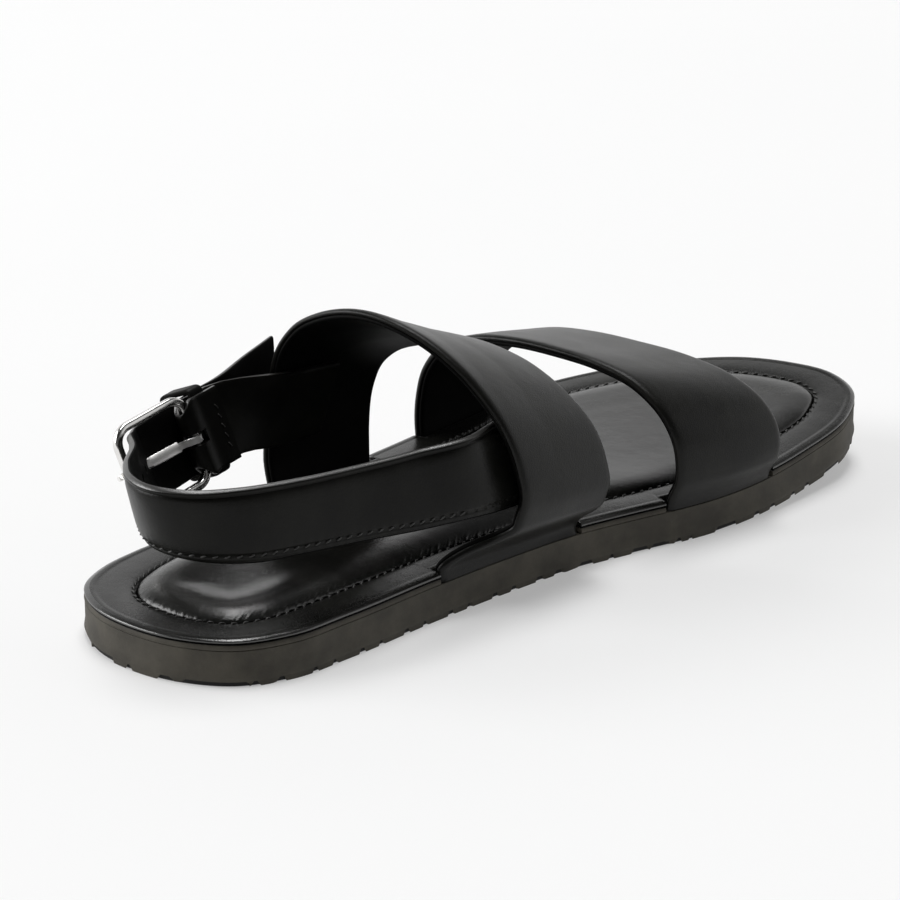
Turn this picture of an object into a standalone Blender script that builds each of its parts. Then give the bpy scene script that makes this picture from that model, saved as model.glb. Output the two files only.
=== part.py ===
"""Left leather sandal with a back strap and a buckle.

Metres, +Z up, toe toward -Y, outer side of the foot toward +X. Shapes are worked out in the shoe's own directions:
along (from the back of the heel to the toe), across (outer side positive) and up (from the floor).
"""
import math

import bmesh
import bpy
import numpy as np
from mathutils import Matrix, Vector

# Sole
SOLE_LENGTH = 0.284
SOLE_WIDTH = 0.108
OUTSOLE_THICK = 0.0105
TOE_SPRING = 0.010
SPRING_START = 0.65          # share of the length where the toe starts to lift
SPRING_POWER = 1.7
GROOVE_DEPTH = 0.0020
CELL_LENGTH = 0.0185         # the tread repeats at this distance along the sole
CELL_WIDTH = 0.0525          # and at this distance across it

# Footbed and pad
FOOTBED_THICK = 0.0046
FOOTBED_FLOOR = 0.0015       # what is left of the footbed under the pad
RIM_WIDTH = 0.0112
PAD_EDGE = 0.0017            # height of the pad's side
PAD_PUFF = 0.0022            # how far the puffed edge of the pad stands above its side
HEEL_CUP = 0.0005            # how far the heel cup sinks below the top of the pad's side
FORE_RISE = 0.0012           # how far the middle of the forefoot stands above it
ARCH_RISE = 0.0026

# Straps
STRAP_THICK = 0.0034
STRAP_CROWN = 0.0004
INSTEP_HEIGHT = 0.0815
INSTEP_HALF_INNER = 0.0487
INSTEP_HALF_OUTER = 0.0483
TOE_BULGE_INNER = 0.0035
TOE_BULGE_OUTER = 0.0004
BACK_THICK = 0.0026
BACK_WIDTH = 0.0222
BACK_LOW = 0.0300
BUCKLE_STRAP_THICK = 0.0018
BUCKLE_STRAP_WIDTH = 0.0240
HOLE_RADIUS = 0.0014
HOLE_PITCH = 0.0090

# Buckle
BAR_RADIUS = 0.0013
FRAME_LENGTH = 0.0262        # between the middles of the two upright bars
FRAME_OPENING = 0.0236       # clear height between the long bars
FRAME_CORNER = 0.0050
BUCKLE_BAR_ALONG = 0.0633
BUCKLE_BAR_ACROSS = 0.0415
BUCKLE_BAR_UP = 0.0422
BUCKLE_FLARE = 2.5           # degrees that the frame opens outward toward the heel
BUCKLE_TILT = 11.0           # degrees that the frame drops toward the heel
BUCKLE_LEAN = 15.5           # degrees that the frame leans outward at its top
PRONG_THICK = 0.0013
PRONG_WIDTH = 0.0032
TURNED_BACK = 0.0115         # how far the short strap's folded end reaches back from the buckle's bar
KEEPER_BACK = 0.0034         # from the buckle's bar to the keeper
KEEPER_SKEW = 0.0045         # how much nearer the heel the keeper's outer leg stands
KEEPER_WIDTH = 0.0050
KEEPER_THICK = 0.0015

GAP = 0.0003                 # clearance between pieces that meet
STATIONS = 28                # cross rows from heel to toe

# Outline of the sole, clockwise from the back of the heel along the inner side: along share, across share
OUTLINE = [
    (0.000, 0.046), (0.007, -0.105), (0.036, -0.237), (0.088, -0.306), (0.158, -0.321), (0.282, -0.323),
    (0.387, -0.334), (0.499, -0.365), (0.563, -0.407), (0.634, -0.458), (0.729, -0.498), (0.817, -0.500),
    (0.914, -0.470), (0.968, -0.392), (0.996, -0.258), (0.996, -0.105), (0.981, 0.045), (0.949, 0.179),
    (0.908, 0.295), (0.858, 0.387), (0.803, 0.454), (0.746, 0.490), (0.686, 0.492), (0.567, 0.466),
    (0.450, 0.443), (0.331, 0.422), (0.214, 0.409), (0.140, 0.406), (0.090, 0.386), (0.044, 0.328), (0.011, 0.201),
]

# Main lugs of one tread cell, each a ring of corners: along share, across share of the cell
LUGS = [
    [(0.24, 0.250), (0.66, 0.245), (0.68, 0.340), (0.52, 0.400), (0.20, 0.370)],
    [(0.80, 0.265), (1.10, 0.265), (1.12, 0.430), (0.97, 0.490), (0.80, 0.430)],
    [(0.31, 0.425), (0.64, 0.405), (0.50, 0.545), (0.20, 0.490)],
    [(0.72, 0.460), (0.86, 0.525), (0.64, 0.680), (0.42, 0.725), (0.31, 0.665), (0.52, 0.560)],
    [(1.08, 0.505), (1.31, 0.585), (1.08, 0.720), (0.78, 0.710), (0.82, 0.575)],
    [(0.15, 0.750), (0.36, 0.755), (0.38, 0.860), (0.13, 0.870), (0.06, 0.810)],
    [(0.47, 0.765), (0.74, 0.750), (0.96, 0.800), (0.74, 0.865), (0.46, 0.835)],
    [(0.71, 0.910), (1.04, 0.890), (1.34, 1.040), (1.05, 1.105), (0.77, 1.010)],
    [(0.53, 1.010), (0.68, 1.000), (0.90, 1.110), (0.66, 1.210), (0.36, 1.200), (0.22, 1.130)],
]

# Footbed rim, from its underside round the edge bead to the sunk bed: share of the rim's width, share of its
# thickness
RIM = [
    (0.11, 0.00), (0.02, 0.11), (0.00, 0.30), (0.05, 0.54), (0.14, 0.64), (0.23, 0.59), (0.45, 0.91), (0.72, 0.93),
    (1.00, 0.68),
]

# Height of the straps' crown over the floor: along share, share of the instep height
CROWN = [
    (0.29, 1.06), (0.33, 1.00), (0.37, 0.93), (0.42, 0.855), (0.51, 0.745), (0.60, 0.665), (0.68, 0.605),
    (0.77, 0.540),
]

# Ribs of the instep strap from the inner foot over the crown to the outer foot:
# across share of the half breadth, share of the crown's height, rear edge and front edge as shares of the sole's length
INSTEP_RIBS = [
    (-1.00, 0.000, 0.296, 0.493), (-0.95, 0.060, 0.297, 0.495), (-0.935, 0.100, 0.316, 0.496),
    (-0.94, 0.132, 0.345, 0.497), (-0.955, 0.170, 0.356, 0.499), (-0.98, 0.245, 0.361, 0.502),
    (-1.00, 0.330, 0.365, 0.504),
    (-0.97, 0.470, 0.364, 0.505), (-0.88, 0.650, 0.358, 0.505), (-0.70, 0.810, 0.349, 0.502),
    (-0.45, 0.930, 0.339, 0.499), (-0.16, 0.990, 0.331, 0.496), (0.16, 0.995, 0.328, 0.495),
    (0.46, 0.940, 0.330, 0.495), (0.69, 0.850, 0.333, 0.496), (0.85, 0.720, 0.336, 0.498),
    (0.94, 0.560, 0.340, 0.500), (1.00, 0.270, 0.342, 0.502), (1.00, 0.000, 0.341, 0.504),
]

# Ribs of the toe strap, in the same columns
TOE_RIBS = [
    (-1.00, 0.000, 0.606, 0.755), (-0.99, 0.150, 0.607, 0.757), (-1.00, 0.320, 0.607, 0.758),
    (-0.97, 0.540, 0.605, 0.757), (-0.87, 0.740, 0.602, 0.754), (-0.69, 0.890, 0.599, 0.750),
    (-0.42, 0.975, 0.596, 0.746), (-0.10, 1.000, 0.593, 0.742), (0.22, 0.990, 0.591, 0.739),
    (0.52, 0.930, 0.590, 0.737), (0.77, 0.800, 0.590, 0.735), (0.92, 0.600, 0.591, 0.734),
    (0.985, 0.350, 0.592, 0.735), (1.00, 0.150, 0.593, 0.736), (1.00, 0.000, 0.594, 0.738),
]
FOOT_BLEND = 0.22            # a strap opens from the sole's edge to its own breadth over this share of its height

# Section of a strap, once round: share of its width, share of its thickness (0 is the outer face)
BAND_PROFILE = [
    (0.00, 0.50), (0.03, 0.08), (0.30, 0.00), (0.70, 0.00), (0.97, 0.08), (1.00, 0.50), (0.97, 0.92), (0.70, 1.00),
    (0.30, 1.00), (0.03, 0.92),
]
STRIP_PROFILE = [
    (0.00, 0.50), (0.04, 0.06), (0.50, 0.00), (0.96, 0.06), (1.00, 0.50), (0.96, 0.94), (0.50, 1.00), (0.04, 0.94),
]

# Back strap between the instep strap and the buckle, from the inner side round the heel: lower edge along and across
# shares, upper edge along and across shares, rise of the lower edge and height of the strap as shares of its width
BACK_PATH = [
    (0.332, -0.400, 0.320, -0.376, 0.000, 1.080), (0.263, -0.352, 0.261, -0.330, 0.000, 1.036),
    (0.200, -0.294, 0.201, -0.286, 0.000, 1.005), (0.132, -0.237, 0.134, -0.233, 0.000, 0.990),
    (0.080, -0.178, 0.072, -0.163, 0.000, 0.990), (0.050, -0.088, 0.034, -0.091, 0.000, 0.990),
    (0.040, 0.014, 0.0165, 0.014, 0.000, 0.990), (0.046, 0.098, 0.0255, 0.111, 0.000, 0.990),
    (0.067, 0.187, 0.051, 0.199, -0.010, 0.995), (0.105, 0.287, 0.097, 0.300, -0.035, 1.000),
]
LAPS = [0.410, 0.386, 0.362]   # sewn-in ends of the two small straps inside the instep strap: along shares

# Back strap through the frame: share of the frame's length behind its bar, rise as a share of the strap's width,
# outer face outward of the frame's middle as a share of the frame's length
THREAD = [
    (0.92, 0.030, -0.088), (0.83, 0.012, 0.000), (0.74, 0.010, 0.085), (0.55, 0.006, 0.155), (0.25, 0.003, 0.205),
]
TAIL_START = [(0.00, 0.000), (-0.27, 0.020)]

# Tail outside the instep strap: along share, rise of its middle line as a share of the strap's width,
# share of the way out from the buckle's plane to the instep strap's face, lift off that face
TAIL = [(0.275, 0.047, 0.39, 0.0), (0.325, 0.061, 0.91, 0.1), (0.369, 0.087, 1.00, 0.6)]
TAIL_LIFT = 0.0024
TAIL_LEAN = 0.0005
PRONG_SLANT = 1.55           # how much longer than the two thicknesses its hole is, because the strap slants
PRONG_HOLE = 0.69            # share of the frame's length where the prong goes through the strap

# Prong from its ring round the bar to its tip: back share of the frame's length, outward share of the bar's radius,
# share of the prong's width
PRONG = [
    (0.05, -1.60, 0.66), (0.13, -0.85, 0.66), (0.25, -0.05, 0.66), (0.27, 0.00, 1.00), (0.45, 0.25, 1.00),
    (0.60, 0.55, 1.00), (0.62, 0.60, 0.75), (0.80, 1.15, 0.72), (0.91, 1.60, 0.70), (1.00, 1.75, 0.66),
    (1.08, 1.80, 0.42),
]


def smooth_rows(rows, steps, closed=False):
    """Cubic curve through rows of numbers: at each row the slope is that of its neighbours, weighted by distance."""
    rows = np.asarray(rows, float)
    if closed:
        rows = np.vstack([rows[-1:], rows, rows[:2]])
    else:
        rows = np.vstack([2 * rows[0] - rows[1], rows, 2 * rows[-1] - rows[-2]])
    chord = np.linalg.norm(np.diff(rows, axis=0), axis=1)[:, None]
    step = np.diff(rows, axis=0) / chord
    slope = (step[1:] * chord[:-1] + step[:-1] * chord[1:]) / (chord[1:] + chord[:-1])
    first, last, size = rows[1:-2], rows[2:-1], chord[1:-1]
    t = (np.arange(steps) / steps)[None, :, None]
    curve = (
        (2 * t ** 3 - 3 * t ** 2 + 1) * first[:, None] + (t ** 3 - 2 * t ** 2 + t) * (slope[:-1] * size)[:, None]
        + (3 * t ** 2 - 2 * t ** 3) * last[:, None] + (t ** 3 - t ** 2) * (slope[1:] * size)[:, None]
    ).reshape(-1, rows.shape[1])
    return curve if closed else np.vstack([curve, rows[-2]])


def spring(along):
    """Lift of the toe above the floor plane."""
    share = np.clip((np.asarray(along) / SOLE_LENGTH - SPRING_START) / (1 - SPRING_START), 0, None)
    return TOE_SPRING * share ** SPRING_POWER


OUTLINE_CURVE = smooth_rows(np.array(OUTLINE) * (SOLE_LENGTH, SOLE_WIDTH), 10, closed=True)
HEEL_INDEX = int(OUTLINE_CURVE[:, 0].argmin())
TOE_INDEX = int(OUTLINE_CURVE[:, 0].argmax())


def outline_sides():
    """The inner and the outer side of the outline, both from heel to toe."""
    ring = np.roll(OUTLINE_CURVE, -HEEL_INDEX, axis=0)
    toe = (TOE_INDEX - HEEL_INDEX) % len(ring)
    inner = ring[:toe + 1]
    outer = np.vstack([ring[toe:], ring[:1]])[::-1]
    return inner, outer


INNER_SIDE, OUTER_SIDE = outline_sides()


def edge_across(along, outer):
    """Across position of the sole's edge on one side."""
    side = OUTER_SIDE if outer else INNER_SIDE
    return np.interp(along, side[:, 0], side[:, 1])


def stations(extra=()):
    """Cross rows, closer together at the heel and the toe, with extra rows where a notch starts or ends."""
    heel, toe = INNER_SIDE[0, 0], INNER_SIDE[-1, 0]
    rows = heel + (toe - heel) * (1 - np.cos(np.pi * np.arange(STATIONS + 1) / STATIONS)) / 2
    keep = [row for row in rows if all(abs(row - other) > 0.003 for other in extra)]
    return np.array(sorted(keep + list(extra)))


def sole_ring(rows, inset, height):
    """Closed ring at an inset from the outline: inner side from heel to toe, then the outer side back."""
    sides = []
    for outer, side in ((False, INNER_SIDE), (True, OUTER_SIDE)):
        tangent = np.gradient(side, axis=0)
        if not outer:
            tangent[0] = (0, -1)
            tangent[-1] = (0, 1)
        else:
            tangent[0] = (0, 1)
            tangent[-1] = (0, -1)
        tangent /= np.linalg.norm(tangent, axis=1)[:, None]
        inward = np.c_[-tangent[:, 1], tangent[:, 0]] * (-1 if outer else 1)
        place = np.c_[rows, np.interp(rows, side[:, 0], side[:, 1])]
        turn = np.c_[np.interp(rows, side[:, 0], inward[:, 0]), np.interp(rows, side[:, 0], inward[:, 1])]
        turn /= np.linalg.norm(turn, axis=1)[:, None]
        depth = inset(rows, outer) if callable(inset) else np.full(len(rows), inset)
        sides.append(place + turn * depth[:, None])
    plan = np.vstack([sides[0], sides[1][-2:0:-1]])
    level = height(plan) if callable(height) else np.full(len(plan), height)
    return np.c_[plan, level]


def to_world(points):
    """Shoe directions (along, across, up) to the model's axes."""
    points = np.asarray(points, float)
    return np.stack([points[..., 1], SOLE_LENGTH / 2 - points[..., 0], points[..., 2]], axis=-1)


def add_object(name, vertices, faces, material, bent=False):
    """Make one object from points in shoe directions, with its faces turned outward."""
    vertices = np.array(vertices, float)
    if bent:
        vertices[:, 2] += spring(vertices[:, 0])
    mesh = bpy.data.meshes.new(name)
    mesh.from_pydata(to_world(vertices).tolist(), [], [tuple(int(i) for i in face) for face in faces])
    shell = bmesh.new()
    shell.from_mesh(mesh)
    bmesh.ops.remove_doubles(shell, verts=shell.verts, dist=1e-6)
    bmesh.ops.recalc_face_normals(shell, faces=shell.faces)
    shell.to_mesh(mesh)
    shell.free()
    thing = bpy.data.objects.new(name, mesh)
    bpy.context.scene.collection.objects.link(thing)
    if material:
        mesh.materials.append(material)
    return thing


def grid_faces(rows, columns):
    """Quads between rows of points that each close on themselves."""
    faces = []
    for row in range(rows - 1):
        for column in range(columns):
            after = (column + 1) % columns
            near, far = row * columns, (row + 1) * columns
            faces.append((near + column, near + after, far + after, far + column))
    return faces


def strip_cap(start, count):
    """Fill a sole ring with cross strips, so that it can bend at each station."""
    half = count // 2
    faces = [(start, start + 1, start + count - 1)]
    for k in range(1, half - 1):
        faces.append((start + k, start + k + 1, start + count - k - 1, start + count - k))
    faces.append((start + half - 1, start + half, start + half + 1))
    return faces


def sole_body(name, rings, material, bent=True):
    """Closed body through sole rings, with its first and last ring filled."""
    count = len(rings[0])
    faces = grid_faces(len(rings), count) + strip_cap(0, count) + strip_cap((len(rings) - 1) * count, count)
    return add_object(name, np.vstack(rings), faces, material, bent)


def shade(thing):
    """Smooth shading with sharp edges kept."""
    thing.data.shade_smooth()
    thing.data.set_sharp_from_angle(angle=math.radians(40))


def new_material(name, colour, roughness, metallic=0.0):
    """Plain Principled material of a piece."""
    material = bpy.data.materials.new(name)
    material.use_nodes = True
    shader = material.node_tree.nodes["Principled BSDF"]
    shader.inputs["Base Color"].default_value = (*colour, 1.0)
    shader.inputs["Roughness"].default_value = roughness
    shader.inputs["Metallic"].default_value = metallic
    return material


def cut(thing, cutter):
    """Take a cutter out of an object, and hide the cutter."""
    step = thing.modifiers.new("cut_" + cutter.name, "BOOLEAN")
    step.operation = "DIFFERENCE"
    step.solver = "EXACT"
    step.object = cutter
    cutter.hide_render = True
    cutter.display_type = "WIRE"


def applied(thing, name, material):
    """A new object with the evaluated mesh of another one, which is removed."""
    evaluated = thing.evaluated_get(bpy.context.evaluated_depsgraph_get())
    mesh = bpy.data.meshes.new_from_object(evaluated)
    result = bpy.data.objects.new(name, mesh)
    bpy.context.scene.collection.objects.link(result)
    mesh.materials.clear()
    mesh.materials.append(material)
    bpy.data.objects.remove(thing)
    return result


def prism(corners, low, high):
    """Points and faces of an upright prism over a ring of plan corners."""
    count = len(corners)
    points = [(x, y, low) for x, y in corners] + [(x, y, high) for x, y in corners]
    faces = [tuple(range(count)), tuple(range(count, 2 * count))]
    faces += [(k, (k + 1) % count, count + (k + 1) % count, count + k) for k in range(count)]
    return points, faces


def lug_prisms(low, high):
    """Every main lug that reaches inside the outline, as one object of separate prisms."""
    points, faces = [], []
    for i in range(-1, int(SOLE_LENGTH / CELL_LENGTH) + 2):
        for j in range(-2, 2):
            for lug in LUGS:
                corners = [((i + u) * CELL_LENGTH, (j + v) * CELL_WIDTH) for u, v in lug]
                inside = [
                    edge_across(x, False) < y < edge_across(x, True) and 0 < x < SOLE_LENGTH for x, y in corners
                ]
                if not any(inside):
                    continue
                ring, sides = prism(corners, low, high)
                faces += [tuple(len(points) + k for k in face) for face in sides]
                points += ring
    return add_object("lug_prisms", points, faces, None)


def make_outsole(material):
    """Rubber slab with an upright wall, cut into lugs from below, then lifted at the toe."""
    rows = stations()
    low, high = sole_ring(rows, 0, 0.0), sole_ring(rows, 0, OUTSOLE_THICK)
    count = len(low)
    faces = grid_faces(2, count) + [tuple(range(count))] + strip_cap(count, count)
    slab = add_object("slab", np.vstack([low, high]), faces, None)
    margin = 0.02
    edges = [-margin] + [row for row in rows if SPRING_START * SOLE_LENGTH < row < SOLE_LENGTH - margin / 4]
    edges.append(SOLE_LENGTH + margin)
    rings = [
        [(x, side * SOLE_WIDTH, up * GROOVE_DEPTH) for side, up in ((-1, -1), (1, -1), (1, 1), (-1, 1))]
        for x in edges
    ]
    last = 4 * (len(rings) - 1)
    faces = grid_faces(len(rings), 4) + [(0, 1, 2, 3), (last, last + 1, last + 2, last + 3)]
    plate = add_object("groove_plate", np.vstack(rings), faces, None)
    prisms = lug_prisms(-2 * GROOVE_DEPTH, 2 * GROOVE_DEPTH)
    cut(plate, prisms)
    cut(slab, plate)
    outsole = applied(slab, "outsole", material)
    bpy.data.objects.remove(plate)
    bpy.data.objects.remove(prisms)
    body = bmesh.new()
    body.from_mesh(outsole.data)
    bmesh.ops.remove_doubles(body, verts=body.verts, dist=2e-5)
    bmesh.ops.dissolve_degenerate(body, dist=1e-5, edges=body.edges)
    bmesh.ops.triangulate(body, faces=body.faces)
    for vertex in body.verts:
        vertex.co.z += float(spring(SOLE_LENGTH / 2 - vertex.co.y))
    body.to_mesh(outsole.data)
    body.free()
    return outsole


def strap_ends():
    """Where each strap stands on the sole's edge: side, first and last along position."""
    rows = []
    for ribs in (INSTEP_RIBS, TOE_RIBS):
        rows.append((False, ribs[0][2] * SOLE_LENGTH, ribs[0][3] * SOLE_LENGTH))
        rows.append((True, ribs[-1][2] * SOLE_LENGTH, ribs[-1][3] * SOLE_LENGTH))
    return rows


def notch_depth(rows, outer):
    """How far the footbed's edge is let in beside each strap."""
    depth = np.zeros(len(rows))
    for side, first, last in strap_ends():
        if side == outer:
            depth[(rows > first - 2 * GAP) & (rows < last + 2 * GAP)] = STRAP_THICK + 2 * GAP
    return depth


def make_footbed(material):
    """Leather-covered footbed: domed rim with a bead round its edge, notched for the straps, and a sunk bed."""
    edges = []
    for side, first, last in strap_ends():
        edges += [first - 4 * GAP, first - GAP, last + GAP, last + 4 * GAP]
    rows = stations(edges)
    base = OUTSOLE_THICK + GAP
    rings = []
    for width, rise in RIM:
        def inset(at, outer, share=width):
            notch = notch_depth(at, outer)
            return notch + share * (RIM_WIDTH - notch)
        rings.append(sole_ring(rows, inset, base + rise * FOOTBED_THICK))
    rings.append(sole_ring(rows, RIM_WIDTH, base + FOOTBED_FLOOR))
    return sole_body("footbed", rings, material)


def pad_height(plan, share):
    """Top of the pad at a share of the way from its edge (0) to its middle line (1)."""
    along = plan[:, 0] / SOLE_LENGTH
    across = plan[:, 1] / SOLE_WIDTH
    fore = np.clip((along - 0.30) / 0.30, 0, 1)
    fore = fore * fore * (3 - 2 * fore)
    puff = PAD_PUFF * math.sin(math.pi * min(share / 0.55, 1.0)) ** 0.8 if share < 0.55 else 0.0
    cup = HEEL_CUP * share * np.clip(1 - np.abs(along - 0.12) / 0.17, 0, 1)
    hill = np.exp(-((along - 0.43) / 0.10) ** 2 - ((across + 0.22) / 0.20) ** 2)
    arch = ARCH_RISE * math.sin(math.pi * share / 2) * hill
    base = OUTSOLE_THICK + 2 * GAP + FOOTBED_FLOOR + PAD_EDGE
    return base + puff * (1 - 0.75 * fore) + FORE_RISE * min(share / 0.3, 1.0) * fore - cup + arch


def make_insole_pad(material):
    """Padded insole inside the rim: puffed edge, sunk heel cup and a low arch."""
    rows = stations()
    low = OUTSOLE_THICK + 2 * GAP + FOOTBED_FLOOR
    outer = RIM_WIDTH + GAP
    rings = [sole_ring(rows, outer, low)]
    for share, inset in ((0.0, 0.0), (0.15, 0.0020), (0.35, 0.0055), (0.60, 0.0105), (0.85, 0.0165)):
        def height(plan, share=share):
            return pad_height(plan, share)
        rings.append(sole_ring(rows, outer + inset, height))
    return sole_body("insole_pad", rings, material)


def crown_height(along):
    """Height of the straps' crown over their foot."""
    table = np.array(CROWN)
    height = np.interp(along / SOLE_LENGTH, table[:, 0], table[:, 1]) * INSTEP_HEIGHT
    return height - OUTSOLE_THICK - GAP


def breadth(along, share, outer, half):
    """Half breadth of a strap at a share of its height: from the sole's edge at the foot to its own breadth."""
    edge = np.abs(edge_across(along, outer))
    blend = np.clip(share / FOOT_BLEND, 0, 1)
    blend = blend * blend * (3 - 2 * blend)
    return edge + (half(along) - edge) * blend


def band_point(rib, u, halves):
    """Outer face of a strap on one rib, at a share of its width from rear to front."""
    side, share, rear, front = rib
    along = (rear + (front - rear) * u) * SOLE_LENGTH
    outer = side > 0
    across = side * breadth(along, share, outer, halves[outer])
    up = OUTSOLE_THICK + GAP + share * crown_height(along)
    return np.stack([along, across, up], axis=-1)


def make_band(name, ribs, halves, material):
    """One strap over the foot: its rounded section carried over the ribs."""
    ribs = smooth_rows(ribs, 2)
    profile = np.array(BAND_PROFILE)
    grid = np.array([band_point(rib, profile[:, 0], halves) for rib in ribs])
    fore = np.array([band_point(rib, np.clip(profile[:, 0] + 0.02, 0, 1), halves) for rib in ribs])
    aft = np.array([band_point(rib, np.clip(profile[:, 0] - 0.02, 0, 1), halves) for rib in ribs])
    normal = np.cross(np.gradient(grid, axis=0), fore - aft)
    normal /= np.linalg.norm(normal, axis=2)[:, :, None]
    middle = normal[len(ribs) // 2, len(profile) // 4]
    normal *= 1 if middle[2] > 0 else -1
    normal[0] = (0, -1, 0)
    normal[-1] = (0, 1, 0)
    depth = profile[:, 1] * STRAP_THICK
    crown = STRAP_CROWN * np.sin(np.pi * np.clip(profile[:, 0], 0, 1)) * (1 - 2 * profile[:, 1])
    fade = np.sin(np.pi * np.linspace(0, 1, len(ribs)))[:, None]
    points = grid - normal * (depth[None] - crown[None] * fade)[:, :, None]
    count = len(profile)
    faces = grid_faces(len(ribs), count)
    faces += [tuple(range(count)), tuple(range((len(ribs) - 1) * count, len(ribs) * count))]
    return add_object(name, points.reshape(-1, 3), faces, material, bent=True)


INSTEP_HALVES = {False: lambda along: INSTEP_HALF_INNER, True: lambda along: INSTEP_HALF_OUTER}
TOE_HALVES = {
    False: lambda along: np.abs(edge_across(along, False)) + TOE_BULGE_INNER,
    True: lambda along: np.abs(edge_across(along, True)) + TOE_BULGE_OUTER,
}


def instep_across(along, up, outer, depth=0.0):
    """Across position of the instep strap's outer face at one height, or of a face at a depth inside it."""
    ribs = smooth_rows(INSTEP_RIBS, 4)
    ribs = ribs[ribs[:, 0] > 0.2][::-1] if outer else ribs[ribs[:, 0] < -0.2]
    across = ribs[:, 0] * np.array([breadth(along, share, outer, INSTEP_HALVES[outer]) for share in ribs[:, 1]])
    line = np.c_[across, OUTSOLE_THICK + GAP + ribs[:, 1] * crown_height(along)]
    tangent = np.gradient(line, axis=0)
    tangent /= np.linalg.norm(tangent, axis=1)[:, None]
    line += np.c_[tangent[:, 1], -tangent[:, 0]] * (-depth if outer else depth)
    return float(np.interp(up, line[:, 1], line[:, 0]))


LAP_DEPTH = 1.08 * (STRAP_THICK + STRAP_CROWN) + GAP


def buckle_axes():
    """Place of the buckle's bar, and its directions toward the heel, outward and up."""
    flare, tilt, lean = math.radians(BUCKLE_FLARE), math.radians(BUCKLE_TILT), math.radians(BUCKLE_LEAN)
    back = np.array([-math.cos(flare) * math.cos(tilt), math.sin(flare) * math.cos(tilt), -math.sin(tilt)])
    upright = np.array([0.0, math.sin(lean), math.cos(lean)])
    out = np.cross(back, upright)
    out /= np.linalg.norm(out)
    up = np.cross(out, back)
    place = np.array([BUCKLE_BAR_ALONG, BUCKLE_BAR_ACROSS, BUCKLE_BAR_UP])
    return place, back, out, up


def buckle_point(back, out, up):
    """A point given from the middle of the buckle's bar: toward the heel, outward, up."""
    place, back_way, out_way, up_way = buckle_axes()
    return place + back * back_way + out * out_way + up * up_way


WRAP_RADIUS = BAR_RADIUS + 1.25 * GAP + BUCKLE_STRAP_THICK / 2
TAIL_OUT = WRAP_RADIUS + BUCKLE_STRAP_THICK / 2 + 2 * GAP + BACK_THICK


def back_strap_edges():
    """Lower and upper edge of the back strap's outer face, from its sewn-in end round the heel to the tip."""
    low, high = [], []
    top = BACK_LOW + BACK_PATH[0][5] * BACK_WIDTH
    for share in LAPS:
        along = share * SOLE_LENGTH
        low.append((along, instep_across(along, BACK_LOW, False, LAP_DEPTH), BACK_LOW))
        high.append((along, instep_across(along, top, False, LAP_DEPTH), top))
    for low_along, low_across, high_along, high_across, rise, height in BACK_PATH:
        foot = BACK_LOW + rise * BACK_WIDTH
        low.append((low_along * SOLE_LENGTH, low_across * SOLE_WIDTH, foot))
        high.append((high_along * SOLE_LENGTH, high_across * SOLE_WIDTH, foot + height * BACK_WIDTH))
    rows = [(share, rise, out * FRAME_LENGTH) for share, rise, out in THREAD]
    rows += [(share, rise, TAIL_OUT) for share, rise in TAIL_START]
    for share, rise, out in rows:
        for edge, half in ((low, -0.5), (high, 0.5)):
            edge.append(tuple(buckle_point(share * FRAME_LENGTH, out, (rise + half) * BACK_WIDTH)))
    for share, rise, outward, lift in TAIL:
        along = share * SOLE_LENGTH
        middle = buckle_point(BUCKLE_BAR_ALONG - along, TAIL_OUT, rise * BACK_WIDTH)
        foot = middle[2] - BACK_WIDTH / 2
        face = instep_across(along, foot, True) + STRAP_CROWN + GAP + BACK_THICK
        across = middle[1] + (face - middle[1]) * outward + lift * TAIL_LIFT
        low.append((along, across - TAIL_LEAN, foot))
        high.append((along, across + TAIL_LEAN, foot + BACK_WIDTH))
    return np.array(low), np.array(high)


def strip_frame(low, high):
    """Inward direction of a strip along its two edge lines."""
    normal = np.cross(np.gradient((low + high) / 2, axis=0), high - low)
    return normal / np.linalg.norm(normal, axis=1)[:, None]


def strip_body(name, low, high, thick, material):
    """Strip of leather whose outer face lies on two edge lines: its rounded section carried along them."""
    normal = strip_frame(low, high)
    rows = [low + (high - low) * v + normal * thick * depth for v, depth in STRIP_PROFILE]
    points = np.stack(rows, axis=1)
    count = len(STRIP_PROFILE)
    faces = grid_faces(len(points), count)
    faces += [tuple(range(count)), tuple(range((len(points) - 1) * count, len(points) * count))]
    return add_object(name, points.reshape(-1, 3), faces, material)


def punch(thing, name, centre, tangent, upward, corners, reach):
    """Cut a hole with the given corners (along the strip, up) right through a strip."""
    normal = np.cross(tangent, upward)
    ring = [centre + a * tangent + b * upward for a, b in corners]
    points = [point - reach * normal for point in ring] + [point + reach * normal for point in ring]
    cutter = add_object(name, points, prism(corners, 0, 1)[1], None)
    cut(thing, cutter)


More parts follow.
